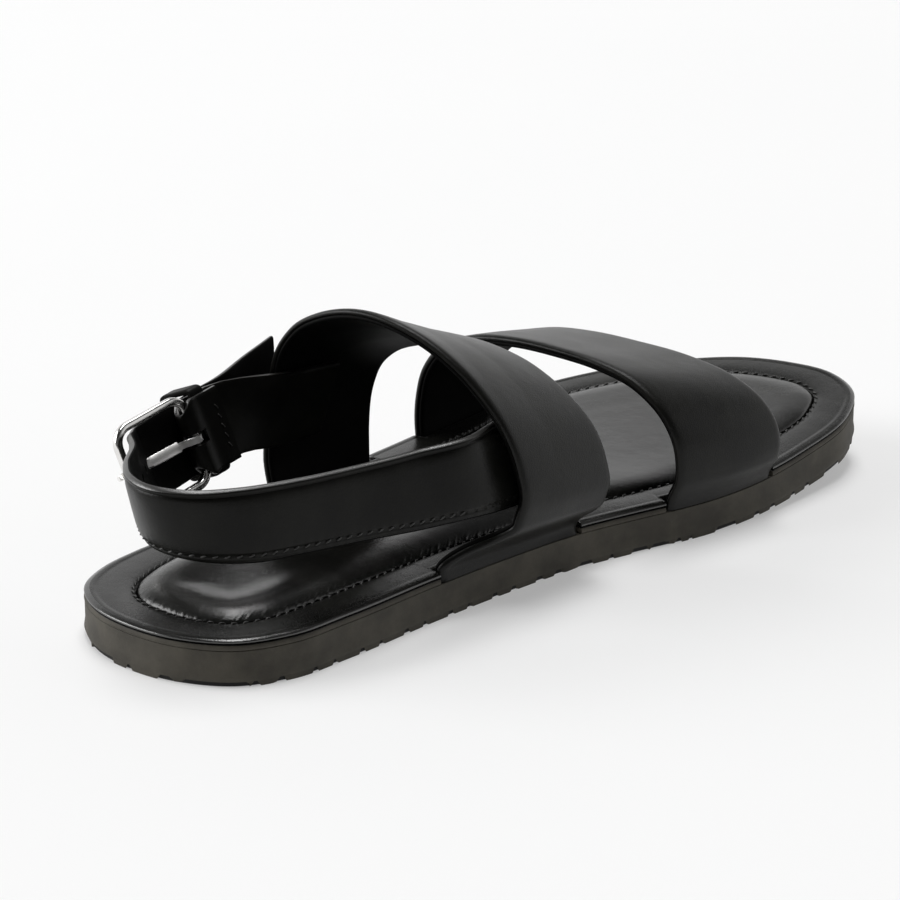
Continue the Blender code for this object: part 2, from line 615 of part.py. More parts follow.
def make_heel_strap(material):
    """Back strap with its row of holes; the prong goes through the middle one, which is drawn long."""
    low, high = back_strap_edges()
    edges = smooth_rows(np.hstack([low, high]), 2)
    low, high = edges[:, :3], edges[:, 3:]
    strap = strip_body("heel_strap", low, high, BACK_THICK, material)
    middle = (low + high) / 2 + strip_frame(low, high) * BACK_THICK / 2
    run = np.r_[0, np.cumsum(np.linalg.norm(np.diff(middle, axis=0), axis=1))]
    place, back_way, _, _ = buckle_axes()
    back = (middle - place) @ back_way
    ahead = run > 0.55 * run[-1]
    start = float(np.interp(-PRONG_HOLE * FRAME_LENGTH, -back[ahead], run[ahead]))
    round_hole = [
        (HOLE_RADIUS * math.cos(math.radians(a)), HOLE_RADIUS * math.sin(math.radians(a))) for a in range(0, 360, 36)
    ]
    half_height = 0.75 * PRONG_WIDTH / 2 + 1.5 * GAP
    half_length = PRONG_SLANT * (BACK_THICK / 2 + PRONG_THICK / 2) + GAP
    long_hole = [
        (a * half_length, b * half_height)
        for a, b in ((1, 0.6), (0.75, 1), (-0.75, 1), (-1, 0.6), (-1, -0.6), (-0.75, -1), (0.75, -1), (1, -0.6))
    ]
    for k in range(-2, 3):
        at = start + k * HOLE_PITCH
        centre = np.array([np.interp(at, run, middle[:, c]) for c in range(3)])
        ahead_point = np.array([np.interp(at + HOLE_RADIUS, run, middle[:, c]) for c in range(3)])
        tangent = (ahead_point - centre) / np.linalg.norm(ahead_point - centre)
        upward = np.array([np.interp(at, run, (high - low)[:, c]) for c in range(3)])
        upward -= tangent * (upward @ tangent)
        upward /= np.linalg.norm(upward)
        corners = long_hole if k == 0 else round_hole
        punch(strap, "punch_%d" % (k + 3), centre, tangent, upward, corners, 1.2 * BACK_THICK)
    return strap


def make_buckle_strap(material):
    """Short strap: sewn inside the instep strap, folded round the buckle's bar and turned back on its inner side."""
    wrap = WRAP_RADIUS
    thick = BUCKLE_STRAP_THICK
    fold = FRAME_OPENING - 2.5 * GAP
    room = wrap - thick - 2 * GAP - KEEPER_THICK
    nose = FRAME_OPENING + 2 * BAR_RADIUS - 2 * FRAME_CORNER
    path = [(-share * TURNED_BACK, room, fold) for share in (1.0, 0.64, 0.32)]
    for turn in range(0, 181, 30):
        angle = math.radians(turn)
        path.append((wrap * math.sin(angle), -wrap * math.cos(angle), fold + (nose - fold) * math.sin(angle)))
    path += [(-share * TURNED_BACK, wrap, fold) for share in (0.32, 0.95)]
    low = [buckle_point(back, out, -width / 2) for back, out, width in path]
    high = [buckle_point(back, out, width / 2) for back, out, width in path]
    top = BACK_LOW + BUCKLE_STRAP_WIDTH
    for share in LAPS[::-1]:
        along = share * SOLE_LENGTH
        low.append((along, instep_across(along, BACK_LOW, True, LAP_DEPTH + thick / 2), BACK_LOW))
        high.append((along, instep_across(along, top, True, LAP_DEPTH + thick / 2), top))
    low, high = np.array(low), np.array(high)
    shift = strip_frame(low, high) * thick / 2
    strap = strip_body("buckle_strap", low - shift, high - shift, thick, material)
    half = PRONG_WIDTH / 2 + GAP
    start = -1.55 * wrap
    corners = [(start, -2 * wrap), (2 * wrap, -2 * wrap), (2 * wrap, 2 * wrap), (start, 2 * wrap)]
    points = [buckle_point(back, out, up) for up in (-half, half) for back, out in corners]
    cut(strap, add_object("prong_slot", points, prism(corners, 0, 1)[1], None))
    return strap


def loop_body(name, centres, ways_a, ways_b, section, material, closed):
    """Body swept along a path: at each place the section's corners are carried on two directions."""
    rings = np.array([
        centre + np.array([a * way_a + b * way_b for a, b in corners])
        for centre, way_a, way_b, corners in zip(centres, ways_a, ways_b, section)
    ])
    rows, count = len(rings), len(rings[0])
    if closed:
        faces = [tuple(index % (rows * count) for index in face) for face in grid_faces(rows + 1, count)]
    else:
        faces = grid_faces(rows, count) + [tuple(range(count)), tuple(range((rows - 1) * count, rows * count))]
    return add_object(name, rings.reshape(-1, 3), faces, material)


def rounded_box(half_a, half_b, radius, steps):
    """Path round a rectangle with round corners, and the outward direction at each place."""
    path, ways = [], []
    for quarter, (sign_a, sign_b) in enumerate(((1, 1), (-1, 1), (-1, -1), (1, -1))):
        for step in range(steps + 1):
            angle = math.radians(90 * quarter + 90 * step / steps)
            ways.append((math.cos(angle), math.sin(angle)))
            path.append((
                sign_a * (half_a - radius) + radius * math.cos(angle),
                sign_b * (half_b - radius) + radius * math.sin(angle),
            ))
    return path, ways


def make_buckle_frame(material):
    """Rectangular frame with rounded corners: a round bar carried round the four sides."""
    _, back_way, out_way, up_way = buckle_axes()
    half = FRAME_LENGTH / 2
    path, ways = rounded_box(half, FRAME_OPENING / 2 + BAR_RADIUS, FRAME_CORNER, 3)
    centres = [buckle_point(half + back, 0, up) for back, up in path]
    spokes = [a * back_way + b * up_way for a, b in ways]
    circle = [
        (BAR_RADIUS * math.cos(math.radians(a)), BAR_RADIUS * math.sin(math.radians(a))) for a in range(0, 360, 45)
    ]
    return loop_body("buckle_frame", centres, spokes, [out_way] * len(path), [circle] * len(path), material, True)


def make_buckle_prong(material):
    """Flat prong: curled round the bar, along the strap's inner side, through its hole and over the outer bar."""
    _, _, _, up_way = buckle_axes()
    curl = BAR_RADIUS + 1.25 * GAP + PRONG_THICK / 2
    path = []
    for turn in range(-280, 1, 35):
        angle = math.radians(turn)
        path.append((curl * math.sin(-angle), -curl * math.cos(angle), PRONG[0][2]))
    path += [(share * FRAME_LENGTH, out * BAR_RADIUS, width) for share, out, width in PRONG]
    centres = np.array([buckle_point(back, out, 0) for back, out, _ in path])
    tangent = np.gradient(centres, axis=0)
    tangent /= np.linalg.norm(tangent, axis=1)[:, None]
    ways = np.cross(tangent, up_way)
    sections = []
    for _, _, width in path:
        half_a, half_b = PRONG_THICK / 2, width * PRONG_WIDTH / 2
        sections.append([
            (half_a, 0.7 * half_b), (0.6 * half_a, half_b), (-0.6 * half_a, half_b), (-half_a, 0.7 * half_b),
            (-half_a, -0.7 * half_b), (-0.6 * half_a, -half_b), (0.6 * half_a, -half_b), (half_a, -0.7 * half_b),
        ])
    return loop_body("buckle_prong", centres, ways, [up_way] * len(path), sections, material, False)


def make_keeper(material):
    """Leather loop round the short strap and the tail: its inner leg lies between the two layers of the strap."""
    _, back_way, out_way, up_way = buckle_axes()
    thick = KEEPER_THICK
    inner = WRAP_RADIUS - BUCKLE_STRAP_THICK / 2 - GAP - thick / 2
    outer = TAIL_OUT + 3 * GAP + thick / 2
    rise = max(row[1] for row in TAIL_START) * BACK_WIDTH
    low = -FRAME_OPENING / 2 - thick / 2 - GAP
    high = rise + BACK_WIDTH / 2 + thick / 2 + 2 * GAP
    path, ways = rounded_box((outer - inner) / 2, (high - low) / 2, thick, 2)
    back = -(KEEPER_BACK + KEEPER_WIDTH / 2)
    skew = KEEPER_SKEW / (outer - inner)
    centres = [
        buckle_point(back + skew * (out + (outer - inner) / 2), (outer + inner) / 2 + out, (high + low) / 2 + up)
        for out, up in path
    ]
    spokes = [a * out_way + b * up_way for a, b in ways]
    half_a, half_b = thick / 2, KEEPER_WIDTH / 2
    section = [
        (half_a, 0.8 * half_b), (0, half_b), (-half_a, 0.8 * half_b), (-half_a, -0.8 * half_b), (0, -half_b),
        (half_a, -0.8 * half_b),
    ]
    ways = [back_way] * len(path)
    return loop_body("strap_keeper", centres, spokes, ways, [section] * len(path), material, True)


def put_on_origin():
    """Move every mesh so that the middle of the shoe's box stands on the origin."""
    meshes = [thing for thing in bpy.data.objects if thing.type == "MESH"]
    shown = [thing for thing in meshes if not thing.hide_render]
    points = np.array([vertex.co[:] for thing in shown for vertex in thing.data.vertices])
    low, high = points.min(axis=0), points.max(axis=0)
    middle = (low + high) / 2
    move = Matrix.Translation(Vector((-middle[0], -middle[1], -low[2])))
    for thing in meshes:
        thing.data.transform(move)


def main():
    """Build every piece of the sandal."""
    for old in list(bpy.data.objects):
        bpy.data.objects.remove(old)
    leather = (0.012, 0.012, 0.012)
    make_outsole(new_material("sole_rubber", (0.030, 0.026, 0.022), 0.75))
    make_footbed(new_material("footbed_leather", leather, 0.42))
    make_insole_pad(new_material("pad_leather", leather, 0.45))
    strap_leather = new_material("strap_leather", leather, 0.40)
    make_band("instep_strap", INSTEP_RIBS, INSTEP_HALVES, strap_leather)
    make_band("toe_strap", TOE_RIBS, TOE_HALVES, new_material("toe_strap_leather", leather, 0.40))
    make_heel_strap(new_material("heel_strap_leather", leather, 0.40))
    make_buckle_strap(new_material("buckle_strap_leather", leather, 0.40))
    make_keeper(new_material("keeper_leather", leather, 0.40))
    make_buckle_frame(new_material("frame_metal", (0.80, 0.80, 0.78), 0.18, 1.0))
    make_buckle_prong(new_material("prong_metal", (0.80, 0.80, 0.78), 0.22, 1.0))
    put_on_origin()
    for thing in bpy.data.objects:
        if thing.type == "MESH" and not thing.hide_render:
            shade(thing)


main()
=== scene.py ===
"""Looks of a left leather sandal: padded footbed, two wide straps, a back strap and a buckle.

Metres, +Z up, toe toward -Y, outer side of the foot toward +X. Shapes are worked out in the shoe's own
directions, along (back of the heel to the toe), across (outer side positive) and up, and then put in the
model's place.
"""
import math

import bmesh
import bpy
import numpy as np
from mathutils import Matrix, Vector


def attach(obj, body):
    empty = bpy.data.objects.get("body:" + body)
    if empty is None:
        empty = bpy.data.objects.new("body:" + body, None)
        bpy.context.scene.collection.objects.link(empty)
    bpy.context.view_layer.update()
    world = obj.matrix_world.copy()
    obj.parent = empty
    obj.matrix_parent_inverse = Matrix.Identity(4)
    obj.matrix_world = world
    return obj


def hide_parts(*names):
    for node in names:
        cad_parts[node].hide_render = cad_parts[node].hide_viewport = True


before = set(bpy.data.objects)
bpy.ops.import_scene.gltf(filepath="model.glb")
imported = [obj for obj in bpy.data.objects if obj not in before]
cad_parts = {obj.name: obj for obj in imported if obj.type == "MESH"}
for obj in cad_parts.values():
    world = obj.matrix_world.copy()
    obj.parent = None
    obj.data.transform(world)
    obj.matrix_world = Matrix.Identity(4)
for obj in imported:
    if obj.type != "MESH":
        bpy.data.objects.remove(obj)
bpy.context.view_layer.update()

# The shoe's directions in the model: world X of across 0 and world Y of along 0
ACROSS_SHIFT = 0.001932
ALONG_SHIFT = 0.141805

# Sole
SOLE_LENGTH = 0.284
SOLE_WIDTH = 0.108
OUTSOLE_THICK = 0.0105
TOE_SPRING = 0.010
SPRING_START = 0.65
SPRING_POWER = 1.7
GROOVE_DEPTH = 0.0020
NICK = 0.0009
NICK_REACH = 0.0035
# The ridge behind the nicks is coloured near-black as painted shade
RIDGE_INSET = 0.0002   # of the dark ridge behind the nicks
RIDGE_TOP = 0.0022
LUG_CUT = 0.14
LEAST_LUG = 0.0006
RIB_PITCH = 0.00085
CELL_LENGTH = 0.0185
CELL_WIDTH = 0.0525
STATIONS = 230

# Footbed and pad
RIM_WIDTH = 0.0129
PAD_INSET = 0.0131
HEEL_EXTRA = 0.0021
HEEL_CORNER = (0.012, 0.022, 0.057)   # where the extra width is full, and where it ends
BEAD_INSET = 0.0014
PAD_FILL_ROWS = 32
PAD_FORE = (0.30, 0.60)   # along shares between which the heel's table gives way
PAD_LOW = 0.0124
PAD_MIDDLE = (0.0, 0.03, 0.0)   # lay of the pad's middle: far from its seam
GATHER_PITCH = 0.0024
GATHERS_END = (0.18, 0.24)

# Thread
STITCH_PITCH = 0.0033
STITCH_LENGTH = 0.0023
THREAD_RADIUS = 0.00030
STITCH_SLANT = 26.0
THREAD_LIFT = 0.9
THREAD_DIP = 2.2
THREAD_TAPER = 0.35
SEAM_SHARE = 0.935
BACK_ROW = 0.0026
BACK_ROW_START = 0.028
BACK_ROW_SUNK = 0.75   # share of the thread's radius
SEAM_LEAN = 0.35
STITCH_RINGS = 7
STITCH_SIDES = 6

# Straps
STRAP_THICK = 0.0034
STRAP_CROWN = 0.0004
INSTEP_HEIGHT = 0.0815
INSTEP_HALF_INNER = 0.0487
INSTEP_HALF_OUTER = 0.0483
TOE_BULGE_INNER = 0.0035
TOE_BULGE_OUTER = 0.0004
BACK_THICK = 0.0026
BACK_WIDTH = 0.0222
BACK_LOW = 0.0300
BUCKLE_STRAP_THICK = 0.0018
BUCKLE_STRAP_WIDTH = 0.0240
HOLE_RADIUS = 0.0014
HOLE_PITCH = 0.0090
PAST_HEEL = 0.55   # share of the back strap's run beyond which the holes lie
FOOT_BLEND = 0.22
LINING_SHARE = 0.6
ROLLED_EDGE = 0.0007
ROLLED_DEPTHS = (0.0003, 0.0022)
CUT_EDGE = 0.0002
BAND_COLUMNS = 41
BAND_FILL = 25

# Buckle
BAR_RADIUS = 0.0013
BAR_SIDES = 32
BAR_SQUARENESS = 0.72
FRAME_LENGTH = 0.0262
FRAME_OPENING = 0.0236
FRAME_CORNER = 0.0050
BUCKLE_BAR_ALONG = 0.0633
BUCKLE_BAR_ACROSS = 0.0415
BUCKLE_BAR_UP = 0.0422
BUCKLE_FLARE = 2.5
BUCKLE_TILT = 11.0
BUCKLE_LEAN = 15.5
PRONG_THICK = 0.0013
PRONG_WIDTH = 0.0032
PRONG_HOLE = 0.69
PRONG_SLANT = 1.55
PRONG_TURN = 26.0
PRONG_TURNS = (0.08, 0.24)   # shares of the frame's length between which it turns
TURNED_BACK = 0.0115
SLOT_SIZE = (0.0048, 0.0060)
SLOT_BACK = 0.0010
KEEPER_BACK = 0.0034
KEEPER_SKEW = 0.0045
KEEPER_WIDTH = 0.0050
KEEPER_THICK = 0.0015
KEEPER_CORNER = 0.7
TAIL_LIFT = 0.0024
TAIL_LEAN = 0.0005
GAP = 0.0003
TURN_SIDES = 24


def metres(rows, shares=()):
    """Table given in millimetres, in metres; columns that hold shares stay as they are."""
    table = np.array(rows, float)
    table[:, [c for c in range(table.shape[1]) if c not in shares]] /= 1000
    return table


# Outline of the sole, from the back of the heel along the inner side: along share, across share
OUTLINE = [
    (0, 0.046), (0.007, -0.105), (0.036, -0.237), (0.088, -0.306), (0.158, -0.321), (0.282, -0.323),
    (0.387, -0.334), (0.499, -0.365), (0.563, -0.407), (0.634, -0.458), (0.729, -0.498), (0.817, -0.5),
    (0.914, -0.47), (0.968, -0.392), (0.996, -0.258), (0.996, -0.105), (0.981, 0.045), (0.949, 0.179),
    (0.908, 0.295), (0.858, 0.387), (0.803, 0.454), (0.746, 0.49), (0.686, 0.492), (0.567, 0.466),
    (0.45, 0.443), (0.331, 0.422), (0.214, 0.409), (0.14, 0.406), (0.09, 0.386), (0.044, 0.328),
    (0.011, 0.201),
]

# Lugs of one tread cell, each a ring of corners in millimetres: along, across
LUGS = [
    [(4.3, 13.2), (11.9, 12.9), (12.7, 17.1), (11.4, 20.4), (6.4, 20.9), (2.9, 18.6)],
    [(14.6, 13.9), (20.4, 13.9), (19.6, 20.0), (14.3, 19.9)],
    [(14.6, 20.7), (20.7, 20.7), (21.4, 22.1), (20.4, 23.6), (18.7, 23.9), (18.2, 26.8), (17.1, 27.1),
     (16.1, 24.3), (14.6, 22.9)],
    [(5.4, 22.1), (11.8, 21.3), (12.0, 23.6), (10.0, 26.8), (8.2, 29.1), (6.1, 27.5), (3.4, 25.1)],
    [(13.2, 23.9), (14.6, 24.6), (15.9, 27.5), (12.5, 32.1), (9.3, 31.8), (10.7, 28.6)],
    [(19.6, 26.1), (22.1, 27.5), (24.5, 30.7), (22.1, 34.3), (19.6, 37.9), (14.3, 37.5), (13.4, 35.7),
     (15.0, 30.7)],
    [(7.1, 32.7), (8.2, 33.6), (11.3, 34.3), (10.7, 37.1), (8.6, 38.6), (5.4, 37.9)],
    [(2.5, 39.3), (6.4, 39.3), (7.4, 42.1), (6.8, 45.6), (2.5, 45.7), (1.1, 42.9)],
    [(8.6, 40.0), (13.6, 39.1), (14.6, 40.9), (17.9, 41.3), (17.7, 43.7), (15.0, 44.3), (13.6, 45.6),
     (9.3, 44.6), (8.0, 42.9)],
    [(5.4, 46.8), (8.9, 46.3), (11.3, 49.3), (11.4, 51.1), (7.9, 52.3), (6.4, 49.3)],
    [(13.2, 47.7), (19.3, 46.4), (21.4, 49.3), (25.1, 53.9), (24.6, 56.4), (20.7, 58.4), (17.5, 57.1),
     (13.9, 52.1)],
    [(9.6, 53.2), (12.5, 52.5), (14.3, 55.7), (16.6, 57.1), (16.1, 60.0), (14.6, 61.1), (11.4, 58.2)],
    [(7.9, 56.1), (9.6, 56.8), (11.4, 60.0), (12.9, 62.9), (11.8, 63.9), (7.1, 63.2), (3.9, 60.0),
     (4.6, 58.2)],
    [(17.1, 58.6), (18.9, 58.9), (19.3, 60.7), (22.3, 62.9), (21.4, 64.6), (15.4, 65.0), (15.1, 62.9),
     (16.4, 61.4)],
]

# Wall of the rubber sole from the groove floor to its seat under the footbed, in millimetres: inset, up
WALL = metres([
    (4, 2), (2.4, 1.8), (1.8, 0.3), (0.7, 0.1), (0.4, 0.6), (0.3, 1.6), (0, 1.5), (0, 5), (0, 8),
    (0, 10.1), (0, 10.4), (0.1, 10.5), (1, 10.5), (9, 10.5),
])

# Footbed rim, once round, in millimetres: inset, up; the covered board comes first, then the edge bead over a
# gap, then the dome
RIM = metres([
    (11, 10.8), (4, 10.7), (1, 10.6), (0.1, 10.6), (0, 10.7), (0, 11.8), (0.2, 12.1), (0.9, 12.3),
    (0.4, 12.5), (0, 12.8), (-0.1, 13.2), (0.3, 13.6), (1, 13.9), (1.8, 14.02), (2.4, 13.98), (2.8, 13.9),
    (3.2, 13.88), (3.7, 13.91), (4.6, 13.95), (7, 14), (9.2, 13.95), (11, 13.8), (12.1, 13.55),
    (12.7, 13.2), (12.9, 12.7),
])
RIM_TOP_ROW = 16
BOARD_TOP = 0.01215

# Top of the pad, in millimetres: distance inward from its seam, height at the heel, height under the forefoot
PAD_TOP = metres([
    (0, 13, 13), (0.2, 13.6, 13.55), (0.8, 14.3, 14.1), (1.8, 15, 14.55), (3.2, 15.7, 14.95),
    (5, 16.25, 15.25), (7.2, 16.55, 15.45), (9.8, 16.55, 15.52), (12.4, 16.28, 15.54), (15, 15.88, 15.56),
    (17.6, 15.52, 15.56), (20.2, 15.3, 15.58), (23, 15.22, 15.62), (30, 15.2, 15.68), (60, 15.2, 15.68),
])

# Height of the straps' crown over the floor: along share, share of the instep height
CROWN = [
    (0.29, 1.06), (0.33, 1), (0.37, 0.93), (0.42, 0.855), (0.51, 0.745), (0.6, 0.665), (0.68, 0.605),
    (0.77, 0.54),
]

# Ribs of the instep strap from the inner foot over the crown to the outer foot: across share of the half
# breadth, share of the crown's height, rear edge and front edge as shares of the sole's length
INSTEP_RIBS = [
    (-1, 0, 0.296, 0.493), (-0.95, 0.06, 0.297, 0.495), (-0.935, 0.1, 0.316, 0.496),
    (-0.94, 0.132, 0.345, 0.497), (-0.955, 0.17, 0.356, 0.499), (-0.98, 0.245, 0.361, 0.502),
    (-1, 0.33, 0.365, 0.504), (-0.97, 0.47, 0.364, 0.505), (-0.88, 0.65, 0.358, 0.505),
    (-0.7, 0.81, 0.349, 0.502), (-0.45, 0.93, 0.339, 0.499), (-0.16, 0.99, 0.331, 0.496),
    (0.16, 0.995, 0.328, 0.495), (0.46, 0.94, 0.33, 0.495), (0.69, 0.85, 0.333, 0.496),
    (0.85, 0.72, 0.336, 0.498), (0.94, 0.56, 0.34, 0.5), (1, 0.27, 0.342, 0.502), (1, 0, 0.341, 0.504),
]

# Ribs of the toe strap, in the same columns
TOE_RIBS = [
    (-1, 0, 0.606, 0.755), (-0.99, 0.15, 0.607, 0.757), (-1, 0.32, 0.607, 0.758),
    (-0.97, 0.54, 0.605, 0.757), (-0.87, 0.74, 0.602, 0.754), (-0.69, 0.89, 0.599, 0.75),
    (-0.42, 0.975, 0.596, 0.746), (-0.1, 1, 0.593, 0.742), (0.22, 0.99, 0.591, 0.739),
    (0.52, 0.93, 0.59, 0.737), (0.77, 0.8, 0.59, 0.735), (0.92, 0.6, 0.591, 0.734),
    (0.985, 0.35, 0.592, 0.735), (1, 0.15, 0.593, 0.736), (1, 0, 0.594, 0.738),
]

# Edge of a wide strap's section from its outer face to its lining, in millimetres: distance inward from the
# edge, depth below the outer face; the lining is a thinner layer set back by a seam
BAND_EDGE = metres([
    (6, 0), (3, 0.02), (1.4, 0.15), (0.5, 0.55), (0.1, 1.1), (0.1, 1.6), (0.4, 2), (0.8, 2.12),
    (0.7, 2.3), (0.6, 2.6), (0.8, 3.05), (1.4, 3.32), (3, 3.4), (6, 3.4),
])

# Back strap between the instep strap and the buckle, from the inner side round the heel: lower edge along and
# across shares, upper edge along and across shares, rise of the lower edge and height of the strap as shares
# of its width
BACK_PATH = [
    (0.332, -0.4, 0.32, -0.376, 0, 1.08), (0.263, -0.352, 0.261, -0.33, 0, 1.036),
    (0.2, -0.294, 0.201, -0.286, 0, 1.005), (0.132, -0.237, 0.134, -0.233, 0, 0.99),
    (0.08, -0.178, 0.072, -0.163, 0, 0.99), (0.05, -0.088, 0.034, -0.091, 0, 0.99),
    (0.04, 0.014, 0.0165, 0.014, 0, 0.99), (0.046, 0.098, 0.0255, 0.111, 0, 0.99),
    (0.067, 0.187, 0.051, 0.199, -0.01, 0.995), (0.105, 0.287, 0.097, 0.3, -0.035, 1),
]
LAPS = [0.410, 0.386, 0.362]   # ends sewn inside the instep strap: along shares

# Back strap through the frame and its tail outside the instep strap
THREAD = [
    (0.92, 0.03, -0.088), (0.83, 0.012, 0), (0.74, 0.01, 0.085), (0.55, 0.006, 0.155),
    (0.25, 0.003, 0.205),
]
TAIL_START = [(0.00, 0.000), (-0.27, 0.020)]
TAIL = [(0.275, 0.047, 0.39, 0.0), (0.325, 0.061, 0.91, 0.1), (0.369, 0.087, 1.00, 0.6)]

# Section of the back strap, once round: end of the height (0 low, 1 high), then distance from that end and
# depth in millimetres
BACK_SECTION = metres([
    (0, 0.7, 1.5), (0, 0.5, 1.3), (0, 0.6, 1.12), (0, 1.1, 0.95), (0, 2.2, 0.6), (0, 3.6, 0.27),
    (0, 5.6, 0.07), (0, 9.5, 0), (1, -9, 0), (1, -5, 0.06), (1, -3.3, 0.26), (1, -2.5, 0.5),
    (1, -2.1, 0.9), (1, -1.75, 0.84), (1, -1.3, 0.48), (1, -0.9, 0.4), (1, -0.58, 0.56), (1, -0.34, 0.88),
    (1, -0.16, 1.24), (1, -0.04, 1.64), (1, -0.02, 2.04), (1, -0.24, 2.4), (1, -0.8, 2.56), (1, -2, 2.6),
    (1, -5, 2.6), (0, 10, 2.6), (0, 3, 2.6), (0, 0.8, 2.56), (0, 0.05, 2.35), (0, -0.15, 2.05),
    (0, 0, 1.72), (0, 0.4, 1.58),
], shares=(0,))

# Section of the short strap, once round, in the same columns
SHORT_SECTION = metres([
    (0, 0, 0.9), (0, 0.04, 0.3), (0, 0.3, 0.06), (0, 1.1, 0), (0, 8, 0), (1, -8, 0), (1, -1.1, 0),
    (1, -0.3, 0.06), (1, -0.04, 0.3), (1, 0, 0.9), (1, -0.04, 1.5), (1, -0.3, 1.74), (1, -1.1, 1.8),
    (1, -8, 1.8), (0, 8, 1.8), (0, 1.1, 1.8), (0, 0.3, 1.74), (0, 0.04, 1.5),
], shares=(0,))

# Rows of stitches across the short strap's turned-back end: distance from the bar, share of the height,
# pitch, size of the thread
END_SEAMS = [(0.0092, 0.70, 0.0030, 0.7)]

# Creases of the back strap: in millimetres distance along, lean over the height, half width, height of the
# ridge (a trough is negative), then middle and reach as shares of the strap's width
BACK_CREASES = metres([
    (40, 4, 3.5, -0.25, 0.55, 0.45), (50, 3, 4.5, 0.18, 0.6, 0.5), (72, -6, 10, -0.2, 0.4, 0.5),
    (98, 4, 12, 0.22, 0.55, 0.6), (121, 2, 4, -0.16, 0.8, 0.2), (127, -2, 3, 0.12, 0.82, 0.18),
    (150, 6, 10, -0.22, 0.5, 0.5), (178, -4, 6, 0.2, 0.5, 0.6), (205, 3, 5, -0.2, 0.45, 0.5),
    (235, 2, 4, -0.15, 0.6, 0.4),
], shares=(4, 5))

# Creases of the two wide straps, in the same columns, from the inner foot over the crown to the outer foot
INSTEP_CREASES = metres([
    (18, 10, 6, -0.3, 0.6, 0.45), (34, -6, 8, 0.28, 0.4, 0.4), (58, 8, 11, -0.3, 0.55, 0.45),
    (92, -10, 14, 0.3, 0.5, 0.5), (118, 6, 9, -0.26, 0.35, 0.35), (152, 12, 12, 0.26, 0.6, 0.45),
    (181, -6, 7, -0.3, 0.45, 0.45), (197, 4, 6, 0.24, 0.55, 0.4),
], shares=(4, 5))
TOE_CREASES = metres([
    (16, 6, 6, -0.28, 0.55, 0.45), (40, -8, 10, 0.28, 0.45, 0.5), (70, 6, 11, -0.26, 0.5, 0.45),
    (105, -4, 12, 0.26, 0.5, 0.45), (138, 6, 8, -0.26, 0.5, 0.45),
], shares=(4, 5))

# Prong from its ring round the bar to its tip: back share of the frame's length, outward share of the bar's
# radius, share of the prong's width
PRONG = [
    (0.05, -1.6, 0.66), (0.13, -0.85, 0.66), (0.25, -0.05, 0.66), (0.256, -0.03, 1), (0.45, 0.25, 1),
    (0.6, 0.55, 1), (0.652, 0.68, 1), (0.657, 0.69, 0.72), (0.8, 1.15, 0.72), (0.91, 1.6, 0.7),
    (1, 1.75, 0.66), (1.08, 1.8, 0.42),
]

# Half of the prong's section and of the keeper's, as shares of half their sizes; the other half is opposite
PRONG_HALF = [(1, 0), (1, 0.93), (0.93, 0.98), (0.8, 1), (0, 1), (-0.8, 1), (-0.93, 0.98), (-1, 0.93)]
KEEPER_HALF = [(1, 0), (1, 0.88), (0.80, 0.98), (0, 1), (-0.80, 0.98), (-1, 0.88)]

# Layers of a lug from the floor up: growth of its outline, height
LUG_LAYERS = [(-0.00015, 0.0), (0.00010, 0.0003), (0.00065, GROOVE_DEPTH + 0.0001)]

# Rings of the pad: distance inward from its seam
PAD_RINGS = np.r_[0, 0.0002, 0.0004, 0.0007, 0.0011, 0.0016, np.arange(0.0022, 0.0111, 0.0007)]

# Arch of the pad: height, distance from the seam where it is full, then middle and reach along and across as
# shares
PAD_ARCH = (0.0026, 0.016, 0.43, 0.10, -0.22, 0.20)

# Camera: where the photographer stood, and the way the lens points
CAMERA_PLACE = Vector((-0.62796, 0.74088, 0.36611))
CAMERA_TARGET = Vector((0.004, 0.012, 0.030))
CAMERA_LENS = 138.0
CAMERA_SENSOR = 36.0

# Brightness of the surroundings at the horizon, overhead and on the camera's side, and the floor's own glow
HORIZON = 0.93
ZENITH = 0.14
NEAR_SIDE = 0.10
AHEAD = (0.63, -0.78, 0.0)   # away from the camera
SKY_FADE = (0.40, 0.68)      # rise over the horizon between which it dims
SIDE_FADE = (-0.45, -0.05)   # share of the way ahead between which it brightens
FLOOR_GLOW = 0.34
FLOOR_HALF = 8.0

# Soft boxes: name, place, point that it faces, size, power
LIGHTS = [
    ("top_box", (0.75, -0.95, 7.8), (0, 0, 0), (2.8, 7.0), 455),
    ("left_box", (5.8, 4.7, 3.0), (0, 0, 0.03), (6.5, 4.5), 490),
]


def smooth_rows(rows, steps, closed=False):
    """Cubic curve through rows of numbers, with the slope of its neighbours at each row."""
    rows = np.asarray(rows, float)
    if closed:
        rows = np.vstack([rows[-1:], rows, rows[:2]])
    else:
        rows = np.vstack([2 * rows[0] - rows[1], rows, 2 * rows[-1] - rows[-2]])
    chord = np.linalg.norm(np.diff(rows, axis=0), axis=1)[:, None]
    step = np.diff(rows, axis=0) / chord
    slope = (step[1:] * chord[:-1] + step[:-1] * chord[1:]) / (chord[1:] + chord[:-1])
    first, last, size = rows[1:-2], rows[2:-1], chord[1:-1]
    t = (np.arange(steps) / steps)[None, :, None]
    curve = (
        (2 * t ** 3 - 3 * t ** 2 + 1) * first[:, None]
        + (t ** 3 - 2 * t ** 2 + t) * (slope[:-1] * size)[:, None]
        + (3 * t ** 2 - 2 * t ** 3) * last[:, None] + (t ** 3 - t ** 2) * (slope[1:] * size)[:, None]
    ).reshape(-1, rows.shape[1])
    return curve if closed else np.vstack([curve, rows[-2]])


def soft(x):
    """Smooth step of a number held between 0 and 1."""
    x = np.clip(x, 0, 1)
    return x * x * (3 - 2 * x)


def unit(vectors):
    """Vectors scaled to length 1 along the last axis."""
    return vectors / np.maximum(np.linalg.norm(vectors, axis=-1, keepdims=True), 1e-12)


